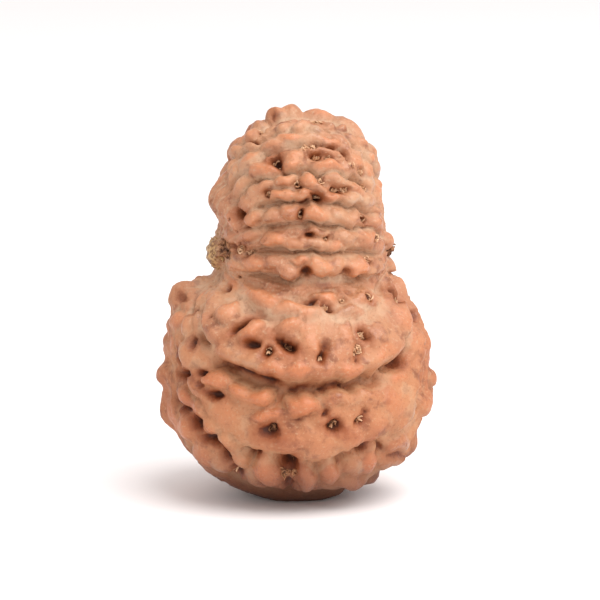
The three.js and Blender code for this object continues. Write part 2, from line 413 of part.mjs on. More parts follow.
// Square of the distance from a feature's middle, 1 at its outline.
function spread(q, feature) {
  const d = sum(q, feature.centre, -1);
  if (Math.hypot(...d) > feature.reach) return Infinity;
  return dot(d, feature.u) ** 2 + dot(d, feature.v) ** 2;
}

// The larger of two heights, with a soft corner where they meet.
function softMax(a, b) {
  const near = Math.max(0, 1 - Math.abs(a - b) / FILLET);
  return Math.max(a, b) + near * near * FILLET * 0.25;
}

// Height of the knobbly surface above the smooth stone.
function relief(p, segment, across, half, share) {
  const groove = GROOVES[(across >= 0 ? segment : segment + 1) % COUNT][3];
  const depth = Math.min(groove, 0.62 * half);
  const edge = (1 - Math.abs(across)) / GROOVE_SHARE;
  let h = -depth * smooth(1.15 * (1 - edge));
  h -= TROUGH_DEPTH * Math.exp(-((across * half / 0.4) ** 2));
  h += 0.07 * Math.sin(1.9 * p[0] + 0.8 * p[2]) * Math.sin(1.7 * p[1] - 1.3 * p[2] + 0.6);
  h -= CREASE * Math.exp(-(((1 - Math.abs(across)) * half / 0.18) ** 2));
  h *= smooth(Math.min(share, 1 - share) / 0.07);
  const q = warped(p);
  for (const knob of PLACED_KNOBS) {
    const ball = knob.height + SUNK;
    const r = spread(q, knob) * (1 - (SUNK / ball) ** 2);
    if (r < 1) h = softMax(h, ball * Math.sqrt(1 - r) - SUNK);
  }
  for (const pit of PLACED_PITS) {
    const r = spread(q, pit);
    if (r < 1) h -= pit.height * (1 - r) ** 1.1;
  }
  h += (DRAPE[segment] ?? 0) * smooth((1 - across) / 1.5) * (1 - smooth((-across - 0.72) / 0.28))
    * smooth(Math.min(share, 1 - share) / 0.25);
  for (const pad of PLACED_PADS) {
    const r = spread(q, pad);
    if (r < 1) h += pad.height * (1 - r) ** 2;
  }
  const worn = 1 - smooth((Math.hypot(p[0] + FLAT_LEFT, p[1]) - FLAT_RADIUS) / 1.2);
  return p[2] < 4 ? Math.max(h, -0.9 + 0.9 * worn) * (1 - worn) + 0.1 * worn : h;
}

function beadGeometry() {
  const angles = [];
  COLUMNS.forEach((count, segment) => {
    for (let i = 0; i < count; i++) angles.push([segment, 1 - (2 * i) / count]);
  });
  const points = [HUB_LEFT, HUB_RIGHT].map((x) => {
    const p = [x, 0, AXIS_HEIGHT];
    return sum(p, normalAt(p), relief(p, 0, 0, 1, x < 0 ? 0 : 1));
  });
  for (let row = 1; row < ROWS; row++) {
    const share = row / ROWS;
    const half = GROOVES.map((_, segment) => halfWidth(segment, share));
    for (const [segment, across] of angles) {
      const p = inSegment(segment, share, across);
      points.push(sum(p, normalAt(p), relief(p, segment, across, half[segment], share)));
    }
  }
  const n = angles.length;
  const at = (row, column) => 2 + (row - 1) * n + (column % n);
  const faces = [];
  for (let column = 0; column < n; column++) {
    faces.push([0, at(1, column + 1), at(1, column)]);
    faces.push([1, at(ROWS - 1, column), at(ROWS - 1, column + 1)]);
    for (let row = 1; row < ROWS - 1; row++) {
      const [a, b] = [at(row, column), at(row, column + 1)];
      const [c, d] = [at(row + 1, column + 1), at(row + 1, column)];
      faces.push([a, b, c], [a, c, d]);
    }
  }
  for (const p of points) p[2] = Math.max(p[2], 0);
  const box = new THREE.Box3().setFromPoints(points.map((p) => new THREE.Vector3(...p)));
  const middle = box.getCenter(new THREE.Vector3());
  const geometry = new THREE.BufferGeometry();
  const flat = points.flatMap((p) => [p[0] - middle.x, p[1] - middle.y, p[2]]);
  geometry.setAttribute("position", new THREE.Float32BufferAttribute(flat, 3));
  geometry.setIndex(faces.flat());
  geometry.computeVertexNormals();
  return geometry;
}

const stone = new THREE.MeshStandardMaterial({ color: 0xb9805c, roughness: 0.62, metalness: 0 });
const bead = new THREE.Mesh(beadGeometry(), stone);
bead.name = "rudraksha_bead";

const part = new THREE.Group();
part.name = "eighteen_mukhi_rudraksha";
part.add(bead);
export default part;
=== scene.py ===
"""An eighteen mukhi rudraksha bead: the finely modelled stone and the plant fibres left in it.

The stone follows the same formula as the part's source: a smooth body of four ellipsoids, eighteen
grooves that run as meridians between two hubs, two rows of knobs in each segment, and pits. Here it
is worked out on a fine mesh, with wrinkles, and with the measures that its finish reads.
The formula's sizes are millimetres, with the bead's front towards -Y and up +Z.
"""
from __future__ import annotations

import logging
import math
from dataclasses import dataclass, field
from enum import Enum

import bpy
import numpy as np
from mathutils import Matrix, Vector, noise


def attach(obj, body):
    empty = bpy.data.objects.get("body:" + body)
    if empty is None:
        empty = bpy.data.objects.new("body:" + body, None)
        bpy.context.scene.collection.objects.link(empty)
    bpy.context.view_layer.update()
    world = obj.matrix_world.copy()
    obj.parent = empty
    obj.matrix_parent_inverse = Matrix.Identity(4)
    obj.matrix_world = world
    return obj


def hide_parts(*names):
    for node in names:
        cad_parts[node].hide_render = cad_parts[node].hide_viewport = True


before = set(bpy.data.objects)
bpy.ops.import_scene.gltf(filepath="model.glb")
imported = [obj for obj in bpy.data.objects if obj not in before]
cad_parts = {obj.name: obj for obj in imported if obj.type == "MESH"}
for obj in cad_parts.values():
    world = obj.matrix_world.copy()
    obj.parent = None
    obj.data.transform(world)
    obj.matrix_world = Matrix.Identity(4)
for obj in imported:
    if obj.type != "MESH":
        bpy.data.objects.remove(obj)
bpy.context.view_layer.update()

LOG = logging.getLogger("bead")
MM = 0.001                       # a millimetre in metres
MIDDLE = (-0.4040, -0.3005)      # middle of the part's box in the formula's x and y
Array = np.ndarray

# centre x, y, z and radii x, y, z of the ellipsoids that make the smooth stone
LOBES = (
    (-0.2, 0.0, 9.4, 11.2, 11.0, 9.9),    # belly
    (-0.5, 0.0, 14.2, 10.4, 9.8, 6.2),    # shoulder of the belly
    (0.2, 0.0, 21.6, 7.0, 7.4, 4.6),      # neck
    (-0.1, 0.0, 25.9, 6.95, 7.3, 7.4),    # narrow upper lobe
)

# angle round the hub axis near the left hub, half way and near the right hub, and the depth
GROOVES = (
    (86, 84, 80, 0.6), (79, 73, 67, 0.55), (69, 65, 59, 0.65), (56, 50.5, 50, 0.75),
    (41.5, 37, 38, 0.8), (30, 26, 25, 0.85), (12, 10, 7, 0.9), (-11, -9.5, -12.6, 1.0),
    (-26.5, -24, -28, 0.45), (-48.5, -42, -45, 1.15), (-66, -59, -60, 0.85), (-80, -72, -71, 1.0),
    (-102, -100, -98, 1.0), (-130, -127, -131, 1.1), (-160, -156, -158, 1.1),
    (-190, -189, -185, 1.1), (-218, -221, -216, 1.0), (-249, -247, -251, 0.9),
)

# segment, share of the way from the left to the right hub, place across (1 at the upper groove,
# -1 at the lower), half length, half width, height, tilt in degrees
KNOBS = (
    # crown
    (17, 0.485, -0.5, 0.8, 0.85, 0.77, 0), (17, 0.44, -0.45, 0.75, 0.8, 0.72, 0),
    (17, 0.395, -0.6, 0.7, 0.75, 0.61, 0), (17, 0.345, -0.7, 0.7, 0.7, 0.59, 0),
    (17, 0.55, -0.5, 0.9, 0.9, 0.42, 0), (17, 0.603, -0.6, 0.95, 0.95, 0.50, 0),
    (17, 0.65, -0.8, 1.0, 0.9, 0.45, 0), (17, 0.7, -0.95, 0.8, 0.9, 0.42, 0),
    (17, 0.31, -0.95, 0.85, 0.6, 0.59, -40), (0, 0.362, 0.72, 0.8, 0.55, 0.68, -50),
    (1, 0.35, 0.95, 0.95, 0.45, 0.47, -40), (0, 0.443, -0.45, 0.6, 0.65, 0.36, 0),
    (0, 0.487, -0.6, 0.85, 0.75, 0.54, 0), (0, 0.27, 0.25, 0.5, 0.8, 0.44, 0),
    (0, 0.737, 0.5, 0.9, 0.8, 0.39, 0), (0, 0.62, -0.2, 0.7, 0.45, 0.38, 10),
    (0, 0.565, 0.0, 0.6, 0.45, 0.38, -10), (0, 0.6, 0.6, 0.55, 0.5, 0.40, 0),
    (0, 0.655, 0.35, 0.55, 0.5, 0.42, 20), (0, 0.69, -0.3, 0.6, 0.5, 0.40, 30),
    (17, 0.58, 0.1, 0.6, 0.6, 0.36, 0), (17, 0.66, 0.0, 0.7, 0.6, 0.40, 10),
    # between grooves 2 and 3: a thin smooth ridge
    (1, 0.523, 0.72, 0.9, 0.55, 0.30, -12), (1, 0.58, 0.6, 0.9, 0.7, 0.31, 0),
    (1, 0.403, -0.35, 1.15, 0.55, 0.36, -12), (1, 0.453, -0.4, 1.2, 0.55, 0.38, -3),
    (1, 0.505, -0.35, 1.35, 0.55, 0.42, -5), (1, 0.553, -0.55, 1.1, 0.5, 0.34, 0),
    (1, 0.6, -0.5, 0.9, 0.5, 0.34, -8), (1, 0.335, -0.5, 0.95, 0.6, 0.34, -20),
    (1, 0.68, -0.8, 0.7, 0.8, 0.30, 0), (1, 0.27, 0.1, 1.0, 0.5, 0.26, 0),
    (1, 0.64, 0.35, 0.7, 0.45, 0.38, 15), (1, 0.7, 0.1, 0.5, 0.55, 0.42, 20),
    (1, 0.755, 0.4, 0.6, 0.55, 0.42, 0), (2, 0.74, 0.7, 0.6, 0.5, 0.42, 10),
    # between grooves 3 and 4
    (2, 0.357, -0.3, 1.35, 0.72, 0.64, -25), (1, 0.318, -0.85, 0.9, 0.65, 0.30, -30),
    (2, 0.447, 0.05, 0.95, 0.6, 0.46, 0), (2, 0.437, -0.52, 0.9, 0.52, 0.61, 0),
    (2, 0.497, 0.38, 0.85, 0.34, 0.24, -8), (2, 0.54, 0.42, 1.05, 0.38, 0.32, 0),
    (2, 0.533, -0.55, 1.55, 0.6, 0.77, 0), (2, 0.592, -0.45, 1.05, 0.6, 0.50, -8),
    (2, 0.63, 0.9, 0.8, 0.7, 0.36, 0), (2, 0.695, -0.05, 0.9, 0.8, 0.37, 4),
    (2, 0.27, -0.2, 0.9, 0.7, 0.46, 10), (2, 0.76, 0.0, 0.9, 0.7, 0.36, 0),
    # between grooves 4 and 5
    (3, 0.343, 0.35, 1.0, 0.44, 0.47, 5), (3, 0.41, 0.52, 1.0, 0.55, 0.66, 3),
    (3, 0.477, 0.46, 0.8, 0.68, 0.73, -30), (3, 0.505, -0.1, 0.85, 0.46, 0.55, -38),
    (3, 0.563, 0.48, 1.4, 0.56, 0.55, -6), (3, 0.628, 0.28, 1.1, 0.55, 0.51, -5),
    (3, 0.4, -0.42, 1.35, 0.46, 0.66, 4), (3, 0.457, -0.45, 1.1, 0.5, 0.72, -4),
    (3, 0.547, -0.72, 0.9, 0.42, 0.55, -4), (3, 0.61, -0.55, 1.55, 0.55, 0.66, 8),
    (3, 0.303, 0.3, 0.8, 0.55, 0.40, 3), (3, 0.268, -0.1, 1.0, 0.64, 0.44, 0),
    (3, 0.69, 0.05, 1.3, 0.75, 0.47, 5), (3, 0.76, -0.2, 1.1, 0.4, 0.49, 15),
    # between grooves 5 and 6
    (4, 0.28, 0.18, 1.1, 0.72, 0.69, -10), (4, 0.353, 0.1, 0.95, 0.68, 0.69, 0),
    (4, 0.408, 0.15, 0.85, 0.75, 0.80, -4), (4, 0.493, 0.0, 1.3, 0.75, 0.72, 0),
    (4, 0.567, -0.12, 1.35, 0.72, 0.65, 3), (4, 0.632, -0.2, 1.1, 0.68, 0.53, 0),
    (4, 0.755, 0.3, 1.2, 0.72, 0.80, 10), (3, 0.187, -0.35, 0.7, 1.1, 0.49, -20),
    (4, 0.133, 0.62, 0.8, 0.68, 0.46, -20), (4, 0.9, -0.8, 1.0, 0.7, 0.80, 0),
    # between grooves 6 and 7
    (5, 0.237, 0.6, 1.5, 0.5, 0.41, -6), (5, 0.353, -0.05, 1.35, 0.7, 0.82, -2),
    (5, 0.412, -0.42, 1.2, 0.55, 0.57, 3), (5, 0.497, 0.46, 0.9, 0.46, 0.57, 0),
    (5, 0.488, -0.35, 1.5, 0.55, 0.57, 0), (5, 0.593, 0.05, 1.3, 0.76, 0.72, 2),
    (5, 0.705, 0.18, 1.5, 0.76, 0.59, 6), (5, 0.56, -0.6, 0.9, 0.45, 0.46, 0),
    (5, 0.79, -0.1, 1.1, 0.75, 0.46, 0),
    # between grooves 7 and 8
    (6, 0.268, 0.05, 1.4, 0.68, 0.57, 2), (6, 0.34, 0.22, 1.15, 0.6, 0.57, 0),
    (6, 0.39, -0.38, 1.2, 0.7, 0.76, -8), (6, 0.5, -0.02, 1.4, 0.88, 0.92, -10),
    (6, 0.565, 0.05, 0.85, 0.78, 0.49, 0), (6, 0.65, 0.02, 1.6, 0.78, 0.88, -6),
    (6, 0.77, -0.6, 1.4, 0.7, 0.63, -12), (6, 0.153, -0.7, 1.1, 0.6, 0.36, 0),
    (6, 0.44, 0.5, 0.9, 0.4, 0.35, 0),
    # between grooves 8 and 9
    (7, 0.21, -0.9, 1.15, 0.52, 0.40, 15), (7, 0.295, -0.7, 2.6, 0.85, 0.60, 11),
    (7, 0.415, -0.96, 2.3, 0.85, 0.74, -9), (7, 0.36, -0.2, 0.95, 0.46, 0.16, 5),
    (7, 0.44, 0.1, 1.35, 0.5, 0.16, 0), (7, 0.517, -0.58, 1.3, 0.85, 0.62, 3),
    (7, 0.53, 0.4, 1.1, 0.4, 0.14, -2), (7, 0.6, -0.95, 1.8, 0.6, 0.46, -7),
    (7, 0.635, -0.25, 1.0, 0.65, 0.18, -10), (7, 0.69, -0.86, 1.9, 1.15, 0.62, -23),
    (8, 0.777, 0.38, 1.1, 0.6, 0.20, -25), (7, 0.77, -0.2, 1.0, 0.8, 0.25, 0),
    # between grooves 9 and 10: fingers that point up
    (8, 0.233, 0.27, 1.15, 1.15, 0.85, 60), (8, 0.32, 0.38, 1.15, 0.82, 0.85, 58),
    (8, 0.413, 0.62, 1.2, 0.62, 0.70, 0), (8, 0.46, 0.48, 1.0, 0.78, 0.40, 0),
    (8, 0.467, 0.12, 0.85, 0.95, 0.42, 0), (8, 0.553, 0.38, 0.78, 1.05, 0.45, -4),
    (8, 0.64, 0.08, 1.25, 1.1, 0.54, -25), (8, 0.645, -0.45, 1.4, 0.85, 0.29, -5),
    (8, 0.51, 0.52, 0.78, 0.7, 0.14, 0), (8, 0.397, -0.12, 0.72, 0.34, 0.31, -30),
    (8, 0.535, -0.1, 0.9, 0.85, 0.20, -6),
    # the same: the lip they stand on, which hangs over groove 10
    (8, 0.293, -0.52, 1.3, 0.62, 0.47, 20), (8, 0.34, -0.46, 1.15, 0.62, 0.47, 2),
    (8, 0.39, -0.52, 1.2, 0.7, 0.51, -3), (8, 0.44, -0.52, 1.2, 0.75, 0.47, 0),
    (8, 0.493, -0.58, 1.3, 0.66, 0.41, -2), (8, 0.55, -0.68, 1.3, 0.66, 0.41, -9),
    (8, 0.61, -0.7, 1.4, 0.76, 0.37, -6), (8, 0.673, -0.62, 1.4, 0.84, 0.35, 6),
    # shoulders right and left
    (8, 0.757, -0.35, 1.4, 1.3, 0.29, 60), (9, 0.777, 0.1, 1.5, 1.3, 0.27, 62),
    (9, 0.9, -0.22, 1.0, 1.6, 0.31, 16), (9, 0.667, 0.48, 1.35, 0.46, 0.29, -38),
    (10, 0.123, -0.55, 1.5, 0.8, 0.55, -79), (11, 0.067, -0.22, 0.7, 0.9, 0.22, -57),
    (8, 0.12, -0.95, 1.15, 0.52, 0.31, 68), (8, 0.183, -0.76, 0.72, 0.78, 0.27, 75),
    (8, 0.223, -0.5, 1.05, 0.42, 0.22, 22), (9, 0.2, -0.55, 1.6, 1.05, 0.51, 66),
    (9, 0.243, 0.55, 0.9, 0.85, 0.25, 50), (11, 0.173, -0.5, 1.5, 0.9, 0.31, -71),
    # between grooves 10 and 11: a row of smooth round knobs
    (9, 0.288, 0.46, 1.35, 0.78, 1.10, 31), (9, 0.338, 0.62, 1.5, 0.66, 1.05, 6),
    (9, 0.382, 0.68, 1.2, 0.74, 1.15, 2), (9, 0.457, 0.63, 1.5, 0.92, 1.00, -3),
    (9, 0.52, 0.78, 1.4, 0.68, 0.58, -8), (9, 0.573, 0.62, 1.5, 0.68, 0.49, -14),
    (9, 0.395, 0.3, 1.45, 0.5, 0.60, 14),
    # the same: the band below them and its stepped lower edge
    (9, 0.253, -0.65, 1.15, 0.62, 0.35, 45), (10, 0.252, 0.36, 1.25, 0.7, 0.62, 48),
    (9, 0.283, -0.98, 1.15, 0.76, 0.60, 14), (9, 0.318, -0.86, 1.1, 0.8, 0.62, 8),
    (9, 0.352, -0.9, 1.05, 0.8, 0.62, -16), (10, 0.381, 0.62, 1.1, 0.72, 0.62, -44),
    (9, 0.33, -0.15, 1.15, 1.15, 0.20, 0), (9, 0.45, -0.25, 1.85, 0.92, 0.26, -3),
    (9, 0.493, -0.45, 1.35, 0.86, 0.26, -5), (9, 0.54, -0.35, 1.2, 0.86, 0.26, 3),
    (9, 0.63, 0.02, 1.4, 1.35, 0.29, -15), (9, 0.653, -0.72, 1.4, 1.5, 0.29, -22),
    (9, 0.59, -0.28, 1.2, 0.82, 0.22, -14), (10, 0.63, 0.55, 1.9, 0.95, 0.75, -45),
    # between grooves 11 and 12: lobes that hang down over the underside
    (10, 0.408, -0.12, 1.1, 0.66, 0.50, -62),
    (10, 0.29, -0.3, 1.45, 1.1, 0.66, 78), (10, 0.333, -0.36, 1.2, 1.4, 0.66, 10),
    (10, 0.36, -0.1, 1.5, 1.0, 0.66, 30), (10, 0.42, 0.42, 1.2, 1.75, 0.95, 15),
    (10, 0.481, 0.3, 0.85, 1.8, 0.95, 7),
    (10, 0.514, 0.4, 0.95, 1.35, 0.66, -7), (10, 0.547, 0.55, 1.15, 1.2, 0.55, -5),
    (10, 0.575, 0.38, 0.85, 1.45, 0.52, -4), (10, 0.625, -0.4, 2.1, 1.0, 0.60, -44),
    (10, 0.547, -0.32, 1.55, 0.8, 0.70, -20), (9, 0.49, -0.82, 1.2, 0.8, 0.20, -5),
    (10, 0.713, -0.32, 1.4, 1.0, 0.65, -60),
    # underside
    (11, 0.27, 0.4, 1.6, 1.1, 0.31, 0), (11, 0.36, 0.5, 1.5, 1.1, 0.31, 0),
    (11, 0.585, 0.6, 1.5, 1.0, 0.28, 0), (11, 0.3, -0.4, 1.6, 1.1, 0.25, 0),
)

# broad swellings of the stone: x, y, z, half height, half width, how far each stands out
# (DRAPE: how far the lower side of a segment hangs out over the next one)
DRAPE = {6: 0.2, 7: 0.2, 8: 0.8, 9: 0.7, 10: 0.35}
PADS = (
    (-6.3, -0.6, 26.2, 2.0, 3.4, 0.75),    # smooth pad on the left of the upper lobe
    (-6.2, 1.2, 28.7, 1.5, 3.2, -0.7),     # dents above and below it
    (-6.6, 1.2, 24.2, 1.1, 2.8, -0.55),
    (-4.9, 1.0, 31.8, 1.1, 2.5, -0.4),
    (-1.6, 0.0, 33.0, 2.0, 3.0, 0.25),     # crown
    (3.8, 0.0, 32.2, 1.8, 2.6, 0.3),
    (5.1, -1.2, 29.6, 3.0, 3.0, 0.45),     # upper right
    (-9.6, 0.6, 17.35, 2.0, 3.2, 1.7),     # left shoulder
    (-8.5, 0.8, 18.9, 1.1, 2.4, 0.9),
    (-10.2, 0.6, 15.2, 1.9, 2.8, 0.6),
    (-10.7, 1.4, 13.0, 1.5, 2.4, 0.35),
    (-11.1, 1.6, 10.3, 2.1, 2.6, 0.85),
    (-11.0, 1.6, 7.5, 2.2, 2.6, 0.9),
    (7.9, -1.4, 18.9, 2.2, 3.2, 0.9),      # right shoulder
    (8.8, -1.6, 16.6, 2.6, 3.4, 0.3),
    (10.1, -2.0, 13.4, 2.0, 2.4, 0.6),
    (10.5, -2.2, 8.6, 1.7, 2.2, 0.6),
    (8.8, -2.2, 4.4, 1.7, 2.4, 0.75),      # lobe low on the right
    (6.8, -1.5, 1.8, 1.5, 3.0, -1.3),      # dent below it
    (-0.2, -8.6, 17.0, 1.7, 6.5, 0.4),     # front, where the neck widens
    (-9.4, -5.2, 6.9, 1.6, 2.6, 0.5),      # rope low on the left
    (4.6, -2.2, 0.8, 2.4, 2.4, -0.8),      # hollow of the underside on the right
    (3.4, -5.0, 0.9, 1.8, 2.6, -0.5),
)

# small lumps, the same way; the first is the plug of the left hub
STUBS = (
    (-6.8, 0.2, 21.5, 1.55, 1.5, 1.1),     # plug of fibres that closes the left hub
    (7.4, -0.6, 20.1, 1.0, 1.5, 1.0),      # lump at the right hub
    (-7.3, 0.8, 19.6, 1.0, 1.3, 0.45),     # small lump below the plug
    (10.6, -2.4, 10.2, 0.85, 0.95, 0.85),  # ball that stands out on the right
)

# segment, share along, place across, half length, half width, depth, tilt in degrees
PITS = (
    # crown
    (0, 0.393, 0.48, 0.36, 0.36, 0.5, 0), (0, 0.36, -0.52, 0.56, 0.22, 0.7, -50),
    (17, 0.437, -0.65, 0.36, 0.4, 0.5, 0), (0, 0.53, 0.48, 0.58, 0.5, 0.42, 15),
    (0, 0.507, -0.15, 0.5, 0.24, 0.3, -20),
    # the fibrous groove between the second ridge and the third
    (2, 0.55, 0.82, 0.5, 0.3, 0.8, 4), (2, 0.587, 0.86, 0.65, 0.27, 0.6, 3),
    (2, 0.503, 0.66, 0.52, 0.32, 0.6, -3), (2, 0.527, 0.82, 0.28, 0.2, 0.6, 0),
    (2, 0.48, 0.6, 0.42, 0.18, 0.36, -8), (2, 0.598, 0.48, 0.22, 0.24, 0.4, 28),
    # upper lobe
    (2, 0.397, -0.05, 0.58, 0.8, 1.0, -8), (2, 0.507, 0.05, 0.74, 0.35, 0.66, 2),
    (2, 0.543, 0.02, 0.55, 0.18, 0.46, 6), (2, 0.553, -0.18, 0.38, 0.15, 0.36, 12),
    (2, 0.603, -0.12, 0.26, 0.36, 0.5, 43), (2, 0.653, 0.32, 0.46, 0.4, 0.42, 37),
    (1, 0.713, 0.45, 0.7, 0.4, 0.4, 49),
    (3, 0.443, 0.25, 0.27, 0.36, 0.5, 0), (3, 0.453, 0.02, 0.2, 0.2, 0.5, 0),
    (3, 0.513, 0.35, 0.28, 0.26, 0.36, 0), (3, 0.557, -0.22, 0.58, 0.35, 0.8, 6),
    (3, 0.59, -0.02, 0.66, 0.3, 0.6, 13), (3, 0.497, -0.75, 0.7, 0.35, 1.0, -18),
    (3, 0.457, -0.95, 0.66, 0.18, 0.5, -6), (3, 0.35, -0.15, 0.46, 0.5, 0.56, -12),
    (3, 0.67, 0.88, 0.7, 0.4, 0.36, 11),
    # neck
    (3, 0.24, -0.58, 0.62, 0.56, 1.2, -34), (4, 0.443, -0.18, 0.3, 0.5, 0.9, 0),
    (4, 0.68, -0.05, 0.6, 0.4, 0.7, 10), (4, 0.3, -0.32, 0.38, 0.26, 0.26, -12),
    (4, 0.247, -0.38, 0.55, 0.18, 0.42, -22), (5, 0.47, 0.22, 0.47, 0.28, 0.7, 2),
    (5, 0.527, -0.05, 0.26, 0.23, 0.6, 0), (5, 0.743, 0.38, 0.45, 0.3, 0.36, 8),
    (5, 0.313, -0.12, 0.24, 0.22, 0.24, 0), (5, 0.183, -0.65, 1.1, 0.42, 0.6, -4),
    (5, 0.15, 0.08, 0.55, 0.34, 0.42, -12), (6, 0.223, 0.82, 0.55, 0.34, 0.42, 0),
    # shoulder
    (6, 0.453, -0.35, 0.72, 0.42, 0.86, -46), (6, 0.6, -0.28, 0.4, 0.45, 0.46, 0),
    (6, 0.7, 0.28, 0.8, 0.32, 0.66, -8), (6, 0.06, -0.6, 0.5, 0.4, 0.6, 0),
    (7, 0.473, -0.7, 0.72, 0.27, 0.8, -4), (7, 0.517, -0.82, 0.6, 0.32, 0.8, -10),
    (7, 0.69, -0.85, 0.6, 0.52, 0.7, -31), (7, 0.587, -0.55, 0.32, 0.22, 0.46, -4),
    (7, 0.617, -0.28, 0.44, 0.38, 0.3, -8), (8, 0.82, -0.38, 0.9, 0.6, 0.95, -72),
    (8, 0.143, 0.25, 0.44, 0.7, 0.5, 68),
    # between the fingers
    (8, 0.283, 0.32, 1.25, 0.42, 1.1, 74), (8, 0.333, 0.02, 0.8, 0.52, 1.0, 5),
    (8, 0.37, -0.12, 0.5, 0.48, 0.9, 7), (8, 0.413, 0.08, 1.06, 0.53, 1.6, -35),
    (8, 0.487, -0.22, 0.4, 0.52, 0.95, -2), (8, 0.497, 0.05, 0.68, 0.52, 0.42, 0),
    (8, 0.603, 0.25, 0.48, 0.62, 0.8, -15), (8, 0.613, 0.12, 0.3, 0.2, 0.5, -17),
    (8, 0.577, -0.18, 0.56, 0.76, 0.42, -13), (8, 0.567, -0.45, 0.22, 0.26, 0.5, 0),
    (9, 0.783, -0.65, 0.3, 0.24, 0.42, -69),
    # under the lip
    (8, 0.323, -0.82, 1.7, 0.32, 0.9, 12), (8, 0.38, -0.84, 1.2, 0.3, 0.9, -10),
    (8, 0.443, -0.95, 1.4, 0.22, 0.5, 3), (8, 0.517, -0.95, 1.9, 0.22, 0.5, -7),
    # left shoulder
    (11, 0.093, 0.95, 0.8, 0.6, 0.56, -77), (9, 0.127, -0.18, 0.58, 0.7, 0.36, 84),
    (8, 0.2, -0.35, 0.22, 0.2, 0.42, 0), (10, 0.173, -0.45, 0.54, 0.7, 0.5, 79),
    (10, 0.22, 0.68, 1.5, 0.42, 1.5, 72), (9, 0.253, 0.05, 0.85, 0.3, 0.85, 48),
    (9, 0.263, -0.28, 0.52, 0.54, 0.5, 0), (9, 0.3, 0.06, 1.1, 0.32, 0.95, 27),
    # broad band
    (9, 0.41, -0.08, 1.1, 0.8, 0.9, 6), (9, 0.413, 0.02, 0.42, 0.44, 0.6, 0),
    (9, 0.513, 0.05, 1.0, 0.64, 1.0, -32), (9, 0.497, 0.38, 0.42, 0.32, 0.7, 14),
    (9, 0.557, 0.02, 0.66, 0.48, 0.6, -17), (9, 0.57, 0.22, 0.42, 0.24, 0.7, -6),
    (9, 0.7, 0.78, 0.8, 0.95, 0.56, -60), (9, 0.73, -0.78, 0.8, 0.46, 0.56, -60),
    (9, 0.453, 0.28, 1.8, 0.27, 0.36, 0),
    # under the band's stepped edge
    (10, 0.26, -0.1, 1.15, 0.55, 1.0, 69), (10, 0.297, 0.55, 0.95, 0.5, 1.0, 6),
    (10, 0.33, 0.62, 1.3, 0.56, 1.25, 20), (10, 0.36, 0.55, 0.9, 0.45, 0.9, -20),
    (10, 0.38, 0.12, 0.85, 0.56, 0.6, -30), (11, 0.24, 0.75, 0.7, 0.8, 0.5, 0),
    # between the lobes below
    (10, 0.383, -0.38, 0.96, 0.66, 1.1, 22), (9, 0.4, -0.85, 0.54, 0.44, 0.86, 18),
    (10, 0.453, 0.82, 0.8, 0.9, 1.0, 0), (10, 0.457, -0.25, 0.5, 1.3, 0.7, 9),
    (9, 0.567, -0.82, 0.76, 0.7, 0.66, 28), (10, 0.597, 0.75, 0.78, 0.5, 0.36, -7),
    (10, 0.523, 0.72, 0.36, 0.34, 0.3, -10), (10, 0.627, -0.12, 1.5, 0.28, 0.5, -50),
    (11, 0.62, 0.05, 2.2, 2.6, 1.3, 0),
)

# segment and share of the knobs whose tops are worn to a warm orange
POLISHED = ((9, 0.288), (9, 0.338), (9, 0.382), (9, 0.457), (9, 0.667), (9, 0.395), (2, 0.357),
            (2, 0.533), (3, 0.477), (3, 0.4), (5, 0.353), (4, 0.493), (7, 0.517), (7, 0.295),
            (7, 0.415), (6, 0.65), (6, 0.5), (8, 0.32), (1, 0.453))


class Remains(Enum):
    """What a pit still holds of the fruit's fibres."""

    SPECK = "one pale stub"
    RING = "a curl round the rim"
    TANGLE = "a knot of crumbs"


